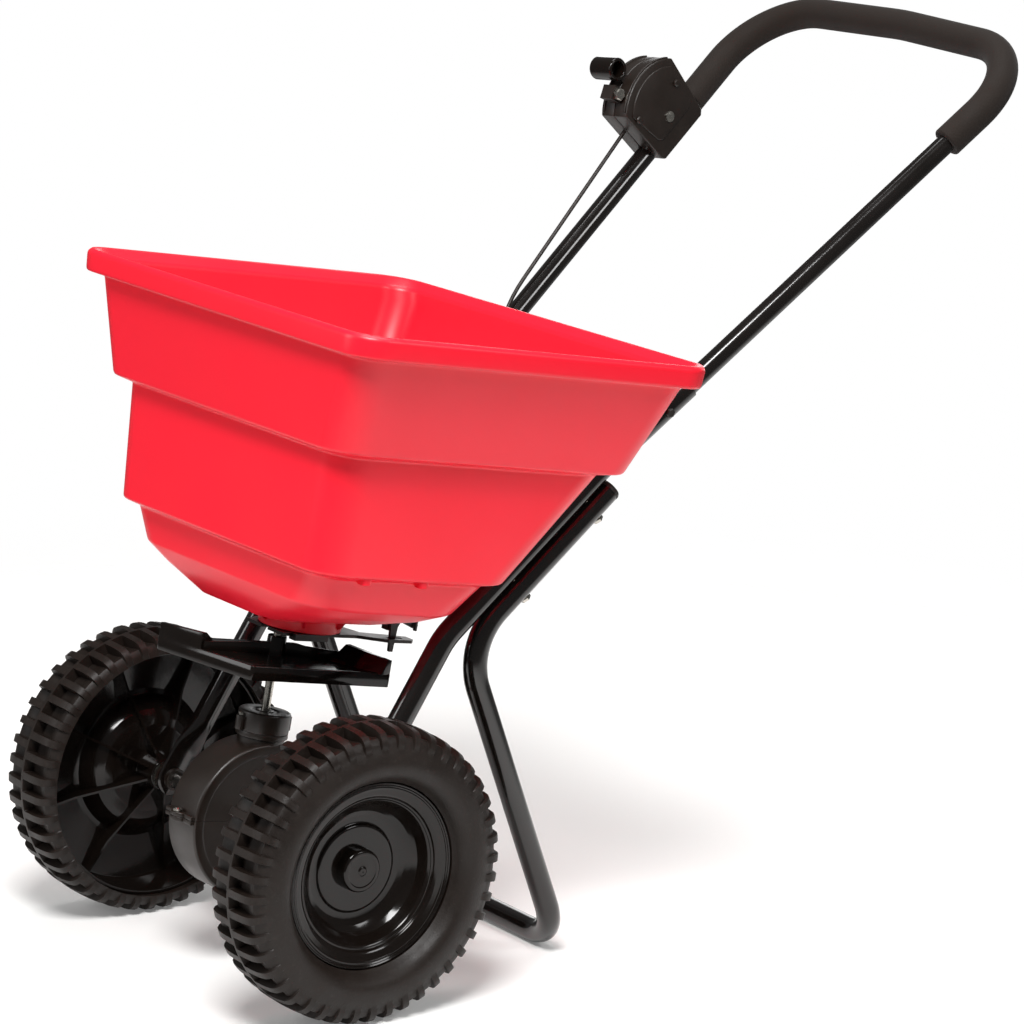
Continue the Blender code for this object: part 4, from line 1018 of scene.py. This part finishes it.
@dataclass
class Impeller:
    """The two-winged spinning disc: a skirted plate with tall fins, curved vanes and a hub.

    Attributes:
        level: Height of the skirt's lower edge over the axle.
        corners: The plate's corners, seen from above.
        fin_root: (depth at the tip, depth at the far end) of a fin's foot.
        fin_crest: The same for its top edge.
        hub: (radius, height over the level) of the hub tube.
        shaft: (radius, height over the axle) of the shaft.
    """

    bench: Bench
    level: float = 138.0
    skirt: float = 13.0
    wall: float = 2.6
    corners: Table = ((65, 85), (-52, 58), (-65, -85), (52, -58))
    fin_length: float = 54.0
    fin_height: float = 15.5
    fin_root: tuple[float, float] = (12.0, 27.0)
    fin_crest: tuple[float, float] = (5.0, 6.0)
    hub: Table = ((4.3, -2), (10, -2), (9.4, 13), (8.6, 30.5), (4.3, 31))
    shaft: Table = ((0.01, 36), (3.4, 36), (4, 36.6), (4, 211.2), (3.2, 212), (0.01, 212))

    def outline(self, distance: float, height: float) -> Loop:
        """The plate's rounded outline, moved in.

        Args:
            distance: How far in.
            height: Height over the axle.

        Returns:
            The outline's points.
        """
        found: list[Point] = []
        count = len(self.corners)
        for i in range(count):
            a, b, c = (Vector(self.corners[k % count]) for k in (i - 1, i, i + 1))
            n1, n2 = (Vector(((p - q).y, (q - p).x)).normalized() for p, q in ((a, b), (b, c)))
            mid = (n1 + n2).normalized()
            found.append(tuple(b + mid * (distance / max(mid.dot(n1), 0.2))))
        return [(x, y, height) for x, y in softened(found, 3.0, 4, closed=True)]

    def plate(self) -> Mesh:
        """The thin plate and its skirt, open underneath.

        Returns:
            The plate's mesh.
        """
        low, top, wall = self.level, self.level + self.skirt, self.wall
        rim = skin([self.outline(*pair) for pair in (
            (wall - 0.6, low), (0.3, low), (0, low + 0.6), (0, top - 1.2), (0.4, top - 0.35),
            (1.3, top), (wall + 0.6, top - 0.1), (wall, top - wall), (wall, low + 0.4))], ring=True)
        web = skin([self.outline(wall - 0.3, top - wall), self.outline(wall - 0.3, top - 0.4)])
        return joined([rim, web])

    def vane(self, sign: int) -> list[Mesh]:
        """One tall fin on the edge from a long corner, and the low curved vane up to it.

        Args:
            sign: One for the first wing, minus one for the other.

        Returns:
            The fin and the vane.
        """
        tip, side = Vector(self.corners[0]) * sign, Vector(self.corners[1]) * sign
        along = (side - tip).normalized()
        deep = Vector((-along.y, along.x))
        start, end = (tip + along * reach + deep * 0.3 for reach in (1.2, self.fin_length))
        low = self.level + self.skirt - 1.5
        high = low + 0.5 + self.fin_height
        (near, far), (top_near, top_far) = self.fin_root, self.fin_crest
        fin = skin([[(*start, low), (*end, low), (*(end + deep * far), low),
                     (*(start + deep * near), low)],
                    [(*start, high - 2.5), (*end, high), (*(end + deep * top_far), high),
                     (*(start + deep * top_near), high - 2.5)]])
        root = along * 8
        bend = end * 0.55 + root * 0.45 + deep * 10.5
        corners = [root, root * 0.5 + bend * 0.5 + deep * 3, bend,
                   bend * 0.45 + end * 0.55 + deep * 2.6, end + deep * 3.2]
        line = [Vector(p) for p in softened([tuple(p) for p in corners], 12, 6)]
        foot: list[Loop] = [[], []]
        crest: list[Loop] = [[], []]
        for i, point in enumerate(line):
            ahead = line[min(i + 1, len(line) - 1)] - line[max(i - 1, 0)]
            across = Vector((-ahead.y, ahead.x)).normalized() * 1.3
            level = low + 13.5 - 5.0 * i / len(line)
            for k, step in enumerate((across, -across)):
                foot[k].append((*(point + step), low))
                crest[k].append((*(point + step * 0.8), level))
        wall = skin([one + other[::-1] for one, other in (foot, crest)])
        return [bevelled(fin, 0.6), bevelled(wall, 0.35, 2, 50)]

    def build(self) -> None:
        """Builds the impeller and dresses its shaft and pins."""
        hub = turned([(r, self.level + z) for r, z in self.hub], 48, Axis.Z, 0.8, 3)
        place = self.bench.leaning
        self.bench.put("spinner", joined([self.plate(), hub, *self.vane(1), *self.vane(-1)]),
                       Slot.GLOSS, "impeller", matrix=place, body=Body.IMPELLER)
        self.bench.put("spinner_shaft", turned(self.shaft, 40, Axis.Z, ring=False), Slot.ZINC,
                       "impeller_shaft", matrix=place, body=Body.IMPELLER)
        self.bench.dress("agitator_pin", "impeller_pin")


# ---- hopper


@dataclass
class Hopper:
    """The moulded tub: a rolled rim, stepped tiers, a funnel, a neck and its outlet parts.

    Attributes:
        top: Height of the rim's crest over the axle.
        half: Half width of the rim at the front.
        flare: How much wider each side is at the back.
        front: Distance of the rim ahead of the leaning axis.
        back: Distance of the rim behind it.
        shaft_hole: Radius of the hole for the shaft.
        fillet: Reach of the fillet at each step.
        per_corner: Pieces in each rounded corner.
        tiers: For each section of the outside, from the funnel's foot to the rim's crest: how
            far it is below the crest and in from the rim at the front, back and side, its
            share of the flare and its corner radius.
        crest: The same for the rim's fold, from the crest down to the inside.
        ledge: How far the middle tier's ledge is below the crest.
        pips: (in from the half width, behind the axis) of the pips under that ledge.
        webs: How many webs stand round the neck.
        web_outline: (beyond the neck, over its bottom) of a web.
    """

    bench: Bench
    top: float = 477.0
    half: float = 235.0
    flare: float = 10.0
    front: float = 129.0
    back: float = 255.0
    wall: float = 3.0
    neck_radius: float = 38.0
    neck_centre: float = 22.0
    neck_bottom: float = 178.0
    shaft_hole: float = 5.0
    fillet: float = 3.2
    per_corner: int = 14
    tiers: Table = ((281, 71, 181, 168, 0.3, 30), (264, 62, 172, 106, 0.4, 46),
                    (252, 56, 163, 79, 0.5, 48), (222, 52, 147, 74, 0.6, 32),
                    (218, 40, 135, 62, 0.7, 34), (112, 35, 55, 55, 0.8, 34),
                    (108, 23, 40, 41, 1, 32), (22, 12, 10, 19, 1, 30), (20, 1, 1, 1, 1, 34),
                    (3, 0, 0, 0, 1, 34), (0, 3, 3, 3, 1, 32))
    crest: Table = ((0, 3, 3, 3, 1, 32), (0, 6, 6, 7, 1, 29), (8, 13, 13, 20, 1, 27),
                    (60, 19, 29, 31, 1, 28))
    ledge: float = 219.0
    pips: Table = ((68, -38), (66, 22))
    webs: int = 6
    web_outline: Table = ((-1.5, 4), (3, 6), (10, 17.5), (-1.5, 20))

    def loops(self, rows: Sequence[Point], reach: float, steps: int = 4, inset: float = 0.0,
              lift: float = 0.0) -> list[Loop]:
        """Rounded outlines of a run of sections, with fillets between them.

        Args:
            rows: Rows like those of tiers.
            reach: Reach of the fillets.
            steps: Pieces in each fillet.
            inset: How far in the outlines are moved.
            lift: How far up they are moved.

        Returns:
            The outlines, in the order of the rows.
        """
        lines = []
        for drop, front, back, side, share, radius in rows:
            half = self.half - side - inset
            lines.append((self.top - drop + lift, self.front - front - inset,
                          self.back - back - inset, half, half + self.flare * share,
                          radius - inset))
        return [self.loop(line) for line in softened(lines, reach, steps)]

    def loop(self, line: Point) -> Loop:
        """The rounded outline of one section.

        Args:
            line: Its height over the axle, how far its front wall is ahead of the axis and its
                back wall behind, its half widths at the front and back, and its corner radius.

        Returns:
            The outline's points.
        """
        height, front, back, front_half, back_half, radius = line
        corners = [Vector(p) for p in ((back_half, back), (-back_half, back),
                                       (-front_half, -front), (front_half, -front))]
        found: Loop = []
        for i in range(4):
            a, b, c = (corners[k % 4] for k in (i - 1, i, i + 1))
            into, out = (b - a).normalized(), (c - b).normalized()
            turn = into.angle(out)
            start = b - into * radius * math.tan(turn / 2)
            normal = (out - into * into.dot(out)).normalized()
            for k in range(self.per_corner + 1):
                angle = turn * k / self.per_corner
                p = start + (normal * (1 - math.cos(angle)) + into * math.sin(angle)) * radius
                found.append((p.x, p.y, height))
        return found

    def ring(self, radius: float, height: float, centre: float | None = None) -> Loop:
        """A round section whose points match an outline's.

        Args:
            radius: Its radius.
            height: Its height over the axle.
            centre: Distance of its centre behind the axis, the neck's if not given.

        Returns:
            The section's points.
        """
        middle = self.neck_centre if centre is None else centre
        turns = [math.pi / 2 * (i + (k + 0.25) / (self.per_corner + 0.5))
                 for i in range(4) for k in range(self.per_corner + 1)]
        return [(radius * math.cos(a), middle + radius * math.sin(a), height) for a in turns]

    def tub(self) -> Mesh:
        """The whole tub as one shell with a real wall.

        Returns:
            The tub's mesh.
        """
        r, z, wall = self.neck_radius, self.neck_bottom, self.wall
        floor = z + wall
        outside = [self.ring(*pair) for pair in ((r - 1, z), (r, z + 0.8), (r, z + 9),
                                                 (r + 1.2, z + 12.5))]
        outside += self.loops(self.tiers, self.fillet)
        fold = self.loops(self.crest, 4.0, 5)[1:-1]
        inside = self.loops(self.tiers[:8], self.fillet, inset=wall, lift=1.2)[::-1]
        inside += [self.ring(*pair) for pair in ((r - 2.4, z + 14), (r - wall, z + 11),
                                                 (r - wall, floor + 0.6), (r - 4, floor))]
        spout = [self.ring(self.shaft_hole, height, 0.0) for height in (floor, z)]
        return skin(outside + fold + inside + spout, ring=True)

    def stiffeners(self) -> list[Mesh]:
        """Moulded pips under the middle tier's ledge and webs at the neck.

        Returns:
            The pips and the webs.
        """
        found = []
        under = self.top - self.ledge
        outline = softened([(-5, -5), (5, -5), (5, 5), (-5, 5)], 3.0, 3, True)
        for side in (1, -1):
            for inset, y in self.pips:
                x = side * (self.half - inset)
                found.append(skin([[(x + a * share, y + b * share, under + level)
                                    for a, b in outline]
                                   for share, level in ((0.7, -6.0), (1.0, -5.0), (1.0, 2.0))]))
        for k in range(self.webs):
            turn = 2 * math.pi * (k + 0.5) / self.webs
            away = Vector((math.cos(turn), math.sin(turn)))
            across = Vector((-away.y, away.x)) * 1.2
            centre = Vector((0.0, self.neck_centre))
            found.append(skin([[(*(centre + away * (self.neck_radius + beyond) + across * side),
                                 self.neck_bottom + height)
                                for beyond, height in self.web_outline] for side in (1, -1)]))
        return found

    def build(self) -> None:
        """Builds the tub and dresses the outlet parts under it."""
        self.bench.put("hopper_tub", joined([self.tub(), *self.stiffeners()]), Slot.HOPPER,
                       "hopper", matrix=self.bench.leaning, angle=50)
        self.bench.dress("shut_off_plate", "plate_guide_left", "plate_guide_right",
                         "crank_bracket", "plate_crank", "crank_pin")


# ---- frame


@dataclass
class TubeFrame:
    """The two bent frame tubes, the stand, the handle with its grip, and their fixings.

    Attributes:
        half_width: Half the distance between the two tubes.
        radius: Radius of the frame tubes and the stand.
        rise: Slope of the tubes' upper run, in radians.
        bend_y: Distance of the tubes' bend behind the axle.
        bend_z: Its height over the ground.
        top_y: The same distance of the tubes' open tops.
        splay: How much further out the tubes go for each step back, from splay_y.
        grip_y: Distance of the handle's crossbar behind the axle.
        grip_start_y: The same of the grip's lower end.
        grip_extra: How much lower the grip starts beside the control box.
        crown: Rise of the crossbar's middle.
        stand_top_y: Distance of the stand's upper end behind the axle.
        stand_knee_y: The same of its bend.
        stand_foot_y: The same of its foot.
        stand_offset: Distance of the stand's centre line below the tubes'.
        flat: Thickness of a tube's flattened foot, as a share of the tube's.
        wide: Width of it, in the same way.
        flat_end: (distance up the tube, length) of the change from the foot to the round.
        foot_reach: How far the foot goes past the axle.
        bends: Radii of a tube's bends, as for stand_bends and bow_bends.
        socket: (clearance, depth) of the hole for the handle in a tube's top.
        overlap: How far the handle goes into it, measured along y.
    """

    bench: Bench
    half_width: float = 130.0
    radius: float = 11.1
    handle_radius: float = 9.5
    grip_radius: float = 14.8
    rise: float = math.radians(39.9)
    bend_y: float = 116.0
    bend_z: float = 320.0
    top_y: float = 368.0
    splay: float = 0.155
    splay_y: float = 285.0
    grip_y: float = 722.0
    grip_start_y: float = 628.0
    grip_extra: float = 14.0
    crown: float = 9.0
    stand_top_y: float = 277.0
    stand_knee_y: float = 139.0
    stand_foot_y: float = 263.0
    stand_offset: float = 22.6
    flat: float = 4.2 / 11.1
    wide: float = 1.42
    flat_end: tuple[float, float] = (26.0, 36.0)
    foot_reach: float = 16.6
    bends: tuple[float, ...] = (70.0, 120.0)
    stand_bends: tuple[float, ...] = (62.0, 42.0, 42.0, 62.0)
    bow_bends: tuple[float, ...] = (76.0, 240.0, 76.0)
    socket: tuple[float, float] = (0.3, 30.0)
    overlap: float = 34.0

    def point(self, y: float, offset: float = 0.0) -> Vector:
        """A point of the left tube's upper run.

        Args:
            y: Its distance behind the axle.
            offset: How far below the run it is, square to it.

        Returns:
            The point.
        """
        x = self.half_width + max(0.0, y - self.splay_y) * self.splay
        z = self.bend_z + (y - self.bend_y) * math.tan(self.rise) - self.bench.height
        return Vector((x, y, z)) + Vector((0.0, math.sin(self.rise), -math.cos(self.rise))) * offset

    def frame_tube(self, sign: int) -> Mesh:
        """One frame tube with its flattened foot and open top.

        Args:
            sign: One for the left tube, minus one for the right.

        Returns:
            The tube's mesh.
        """
        foot = Vector((self.half_width, 0.0, 0.0))
        bend = self.point(self.bend_y)
        down = (foot - bend).normalized()

        def shape(p: Vector) -> tuple[float, float]:
            """Makes the foot flat, wide and round-ended, and the rest a round tube.

            Args:
                p: A point of the centre line.

            Returns:
                The section's scales across and deep.
            """
            reach = (foot - Vector((abs(p.x), p.y, p.z))).dot(down)
            share = min(1.0, max(0.0, (reach - self.flat_end[0]) / self.flat_end[1]))
            share = share * share * (3 - 2 * share)
            end = math.sqrt(max(0.05, 1 - (max(0.0, -reach) / self.foot_reach) ** 2))
            return (self.flat + (1 - self.flat) * share,
                    (self.wide + (1 - self.wide) * share) * end)

        start = [foot + down * k for k in (16, 15.4, 14, 12, 9.5, 6, 2, -4, -14)]
        start += [foot - down * (self.flat_end[0] + 3 * k) for k in range(13)]
        corners = [start[-1], bend, self.point(self.splay_y), self.point(self.top_y)]
        path = start[:-1] + rounded_path(corners, self.bends)
        clearance, depth = self.socket
        return swept([Vector((sign * p.x, p.y, p.z)) for p in path], self.radius, 32, shape,
                     (self.handle_radius + clearance, depth))

    def stand(self) -> Mesh:
        """The bent stand behind the frame tubes.

        Returns:
            The stand's mesh.
        """
        x = self.half_width
        start = self.point(self.stand_top_y, self.stand_offset)
        start.x = x
        knee = Vector((x, self.stand_knee_y,
                       start.z - (start.y - self.stand_knee_y) * math.tan(self.rise)))
        sunk = 0.35  # just into the ground, so that no light shows under it
        foot = Vector((x, self.stand_foot_y, self.radius - sunk - self.bench.height))
        side = [start, knee, foot]
        corners = side + [Vector((-p.x, p.y, p.z)) for p in side[::-1]]
        return swept(rounded_path(corners, self.stand_bends), self.radius, 32)

    def bow(self, low_y: float) -> list[Vector]:
        """The handle's centre line from one side round to the other.

        Args:
            low_y: Distance of its ends behind the axle.

        Returns:
            The line's points.
        """
        low, corner = self.point(low_y), self.point(self.grip_y)
        crown = Vector((0.0, corner.y, corner.z)) + Vector(
            (0.0, math.cos(self.rise), math.sin(self.rise))) * self.crown
        across = Vector((-1.0, 1.0, 1.0))
        return rounded_path([low, corner, crown, corner * across, low * across], self.bow_bends)

    def grip(self) -> Mesh:
        """The foam sleeve, which starts lower beside the control box.

        Returns:
            The sleeve's mesh.
        """
        path = self.bow(self.grip_start_y)
        beyond = self.point(self.grip_start_y - self.grip_extra)
        path[-1] = Vector((-beyond.x, beyond.y, beyond.z))
        dense = [a.lerp(b, k / 8) for a, b in zip(path, path[1:])
                 for k in range(8 if (b - a).length > 20 else 1)]
        return swept([*dense, path[-1]], self.grip_radius, 40, round_ends=1.8)

    def build(self) -> None:
        """Builds the tubes, the stand, the handle and the grip, and dresses the fixings."""
        bow = swept(self.bow(self.top_y - self.overlap), self.handle_radius, 32)
        for name, mesh, slot, node in (
                ("side_tube_left", self.frame_tube(1), Slot.PAINT, "frame_tube_left"),
                ("side_tube_right", self.frame_tube(-1), Slot.PAINT, "frame_tube_right"),
                ("rear_stand", self.stand(), Slot.PAINT, "stand_tube"),
                ("handle_bow", bow, Slot.PAINT, "handle_tube"),
                ("grip_sleeve", self.grip(), Slot.FOAM, "foam_grip")):
            self.bench.put(name, mesh, slot, node, matrix=self.bench.at_axle)
        for side in ("left", "right"):
            self.bench.dress(f"stand_bolt_{side}_1", f"stand_bolt_{side}_2",
                             f"handle_bolt_{side}", f"stand_plug_{side}", f"axle_bush_{side}",
                             f"axle_washer_{side}")
        self.bench.dress("axle")


# ---- control


@dataclass
class ControlBox:
    """The rate control on the right handle tube: two shells, lever, knob, stop and rod.

    Attributes:
        along_y: Distance of the box's origin behind the axle.
        radius: Radius of the box's arc about the lever's pivot.
        half_depth: Half the width of the two shells.
        half_length: Half the length of the box's foot, along the tube.
        pivot: Height of the lever's pivot over the tube's centre line.
        lever_length: From the pivot to the knob.
        rest: The lever's lean at rest, in radians.
        arm_outline: (across, up) of the lever plate's arm, along the lever.
        horn: (along, up) of its horn for the rod.
        low_screw: (along, up) of the box's lower screw.
        knob_outline: (radius, along) of the knob.
        screw_outline: (radius, out from the side's panel) of the lower screw.
        rod_bends: Radii of the rod's bends, from the lever down.
    """

    bench: Bench
    tubes: TubeFrame
    along_y: float = 583.0
    radius: float = 57.0
    half_depth: float = 18.0
    half_length: float = 33.0
    pivot: float = 20.0
    lever_length: float = 73.0
    rest: float = math.radians(9.0)
    rod_radius: float = 1.9
    arm_outline: Table = ((6.5, 12), (4.5, 52), (4.5, 64), (-4.5, 64), (-4.5, 52), (-6.5, 22))
    horn: Table = ((-19, 20), (-26, 15), (-22, 9))
    low_screw: tuple[float, float] = (-33.0, 46.0)
    knob_outline: Table = ((0.3, -10), (7.2, -10), (7.8, 3.2), (8.6, 4.2), (10.2, 4.2),
                           (11.4, 3.0), (11.4, -25.2), (9.8, -27), (0.3, -27))
    screw_outline: Table = ((0.2, -8), (1.6, -8), (1.6, 2), (3.6, 2), (3.6, 3.2), (2.6, 4.2),
                            (0.2, 4.2))
    rod_bends: tuple[float, ...] = (8.0, 120.0, 50.0, 50.0, 40.0, 30.0)

    @property
    def place(self) -> Matrix:
        """The box's frame.

        Returns:
            The matrix whose +Y goes up the tube and whose +Z is square to it.
        """
        t = self.tubes
        point = t.point(self.along_y)
        along = (t.point(t.top_y + 60) - t.point(t.top_y)).normalized()
        along.x = -along.x
        up = Vector((0.0, -math.sin(t.rise), math.cos(t.rise)))
        across = along.cross(up).normalized()
        turn = Matrix((across, along, across.cross(along))).transposed().to_4x4()
        return self.bench.at_axle @ shifted(-point.x, point.y, point.z) @ turn

    def arc(self, reach: float, first: float, last: float, steps: int) -> Loop:
        """Part of a circle about the lever's pivot.

        Args:
            reach: Its radius.
            first: Its first angle, in degrees.
            last: Its last angle.
            steps: Pieces in it.

        Returns:
            The (along, up) points.
        """
        turns = [math.radians(first + (last - first) * k / steps) for k in range(steps + 1)]
        return [(reach * math.cos(a), self.pivot + reach * math.sin(a)) for a in turns]

    def outline(self, inset: float, foot: float = -10.0) -> Loop:
        """The box's side: a foot along the tube and an arc about the lever's pivot.

        Args:
            inset: How far in it is moved.
            foot: Height of its foot.

        Returns:
            The (along, up) points.
        """
        half, corner, low = self.half_length - inset, 4.0, foot + inset
        upper = half + 5.0  # the foot goes further up the tube than down it
        return [*self.arc(self.radius - inset, 46, 138, 26), (-half, low + corner),
                (-half + corner, low), (upper - corner, low), (upper, low + corner)]

    def shells(self) -> tuple[Mesh, Mesh]:
        """The box's two halves, with ribs round the arc.

        Returns:
            The inner shell with its raised panel, and the outer shell.
        """
        half, gap = self.half_depth, self.bench.gap
        inner = [extruded(self.outline(0), gap / 2, half, 1.2),
                 extruded(self.outline(7.5, 1), half - 1, half + 1.5, 0.7)]
        outer = [extruded(self.outline(0), -half, -gap / 2, 1.2)]
        low, high = (self.arc(self.radius + step, 50, 134, 24) for step in (-2, 1.4))
        inner.append(extruded(low + high[::-1], 13.2, 16.2, 0.4))
        outer.append(extruded(low + high[::-1], -16.2, -13.2, 0.4))
        return joined(inner), joined(outer)

    def arm(self) -> Mesh:
        """The lever plate: round at the pivot, an arm to the knob and a horn for the rod.

        Returns:
            The plate's mesh.
        """
        cos, sin = math.cos(self.rest), math.sin(self.rest)
        turns = [math.radians(200 + 170 * k / 14) for k in range(15)]
        outline = [(7.6 * math.cos(a), 7.6 * math.sin(a)) for a in turns]
        outline += [(across * cos - up * sin, across * sin + up * cos)
                    for across, up in self.arm_outline]
        return extruded([*outline, *self.horn], -1.5, 1.5, 0.35)

    def rod(self) -> Mesh:
        """The thin rod from the lever down behind the hopper to the crank.

        Returns:
            The rod's mesh, in place.
        """
        place, lean = self.place, self.bench.leaning
        corners = [carried(place, -4.2, -21, self.pivot + 14), carried(place, -4.2, -30, 35),
                   carried(place, -2, -252, 15), carried(self.bench.at_axle, -108, 330,
                                                         512 - self.bench.height),
                   carried(lean, -60, 268, 392), carried(lean, 36, 172, 276),
                   carried(lean, 40.2, 122, 216), carried(lean, 40.2, 122, 186)]
        return swept(rounded_path(corners, self.rod_bends, 6), self.rod_radius, 14,
                     round_ends=0.6)

    def build(self) -> None:
        """Builds the box, the lever and the rod, and dresses the stop and screws."""
        put, place = self.bench.put, self.place
        for mesh, side in zip(self.shells(), ("inner", "outer")):
            put(f"control_case_{side}", mesh, Slot.HOUSING, f"control_shell_{side}", matrix=place)
        at_pivot = place @ shifted(0, 0, self.pivot)
        put("lever_plate", self.arm(), Slot.HOUSING, "lever_arm", matrix=at_pivot, body=Body.LEVER)
        lean = Matrix.Rotation(self.rest, 4, "X")
        put("lever_handle", turned(self.knob_outline, 56, edge=0.8, edge_steps=3), Slot.GLOSS,
            "lever_knob", matrix=at_pivot @ lean @ shifted(0, 0, self.lever_length),
            body=Body.LEVER)
        put("control_rod", self.rod(), Slot.HOUSING, "link_rod", body=Body.ROD)
        head = [(r, self.half_depth + out) for r, out in self.screw_outline]
        put("case_screw_low", turned(head, 32, edge=0.3), Slot.HOUSING, "box_screw_1",
            matrix=place @ shifted(0, *self.low_screw))
        self.bench.dress("lever_pivot_screw", "box_screw_2", "stop_block", "stop_bolt")


# ---- studio


@dataclass(frozen=True)
class Softbox:
    """A rectangular soft light aimed at the object.

    Attributes:
        name: The light's name.
        offset: Its place from the target, to the right, up and back, in metres.
        size: Its width and height, in metres.
        watts: Its power.
    """

    name: str
    offset: tuple[float, float, float]
    size: tuple[float, float]
    watts: float


@dataclass
class Studio:
    """The pale floor, the soft lights and the camera, in metres.

    Attributes:
        target: What the camera and the lights aim at.
        azimuth: The camera's angle round the object from the front, in degrees.
        elevation: Its angle over the ground.
        roll: Its turn about its own axis.
        distance: Its distance from the target.
        lens: Its focal length, in millimetres.
        ambient: Strength of the light from all round.
        floor: Half the floor's width, in millimetres.
    """

    target: tuple[float, float, float] = (0.0308, -0.0412, 0.3992)
    azimuth: float = 52.81
    elevation: float = 13.23
    roll: float = 2.91
    distance: float = 3.9124
    lens: float = 148.75
    ambient: float = 0.14
    backdrop: str = "FFFFFF"
    floor: float = 1700.0
    lights: tuple[Softbox, ...] = (
        Softbox("key", (-0.35, 1.7, 2.05), (0.9, 0.9), 84),
        Softbox("left", (-2.6, 0.8, 0.9), (0.7, 1.6), 18),
        Softbox("right", (2.6, 1.6, 1.8), (0.9, 0.9), 26),
        Softbox("overhead", (0.2, 2.9, 0.3), (1.8, 1.2), 42),
        Softbox("rear", (0.9, 1.2, -2.8), (2.2, 1.4), 22),
    )

    def axes(self) -> tuple[Vector, Vector, Vector]:
        """The camera's directions before its roll.

        Returns:
            Right, up and back.
        """
        a, e = math.radians(self.azimuth), math.radians(self.elevation)
        back = Vector((math.sin(a) * math.cos(e), -math.cos(a) * math.cos(e), math.sin(e)))
        right = Vector((math.cos(a), math.sin(a), 0.0))
        return right, back.cross(right), back

    def light(self, box: Softbox) -> None:
        """Adds a softbox.

        Args:
            box: Its place, size and power.
        """
        lamp = bpy.data.lights.new(box.name, "AREA")
        lamp.shape = "RECTANGLE"
        lamp.size, lamp.size_y = box.size
        lamp.energy = box.watts
        holder = bpy.data.objects.new(box.name, lamp)
        bpy.context.scene.collection.objects.link(holder)
        target = Vector(self.target)
        place = target + sum((a * step for a, step in zip(self.axes(), box.offset)), Vector())
        holder.location = place
        holder.rotation_euler = (target - place).to_track_quat("-Z", "Y").to_euler()

    def camera(self) -> None:
        """Adds the camera with its small roll."""
        right, up, back = self.axes()
        r = math.radians(self.roll)
        rolled = right * math.cos(r) + up * math.sin(r)
        upward = -right * math.sin(r) + up * math.cos(r)
        made = bpy.data.cameras.new("camera")
        made.lens = self.lens
        made.sensor_width = 36.0
        made.clip_end = 60.0
        holder = bpy.data.objects.new("camera", made)
        bpy.context.scene.collection.objects.link(holder)
        holder.matrix_world = (Matrix.Translation(Vector(self.target) + back * self.distance)
                               @ Matrix((rolled, upward, back)).transposed().to_4x4())
        bpy.context.scene.camera = holder

    def world(self) -> None:
        """Lights the scene evenly from all round, against a white backdrop."""
        world = bpy.data.worlds.new("studio")
        bpy.context.scene.world = world
        world.use_nodes = True
        tree = world.node_tree
        sky = tree.nodes["Background"]
        sky.inputs["Color"].default_value = linear(self.backdrop)
        sky.inputs["Strength"].default_value = self.ambient
        seen = add_node(tree, "ShaderNodeBackground", Color=linear(self.backdrop), Strength=1.0)
        direct = add_node(tree, "ShaderNodeLightPath").outputs["Is Camera Ray"]
        both = add_node(tree, "ShaderNodeMixShader", in_0=direct, in_1=sky.outputs[0],
                        in_2=seen.outputs[0])
        tree.links.new(both.outputs[0], tree.nodes["World Output"].inputs["Surface"])

    def build(self) -> None:
        """Builds the world, the floor, the lights and the camera."""
        scene = bpy.context.scene
        scene.view_settings.view_transform = "Standard"
        self.world()
        half, level = self.floor, -0.5  # just under the wheels
        paper = shell([(-half, -half, level), (half, -half, level), (half, half, level),
                       (-half, half, level)], [(0, 1, 2, 3)])
        paper.materials.append(StudioPaper().build())
        floor = bpy.data.objects.new("floor", paper)
        scene.collection.objects.link(floor)
        for box in self.lights:
            self.light(box)
        self.camera()


def main() -> None:
    """Builds every sub-assembly and the studio."""
    logging.basicConfig(level=logging.INFO, format="%(message)s")
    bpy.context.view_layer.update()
    bench = Bench()
    Wheel(bench, 1, "left", Body.DRIVE).build()
    Wheel(bench, -1, "right", Body.FREE).build()
    Gearbox(bench).build()
    Impeller(bench).build()
    Hopper(bench).build()
    tubes = TubeFrame(bench)
    tubes.build()
    ControlBox(bench, tubes).build()
    Studio().build()


if __name__ == "__main__":
    main()
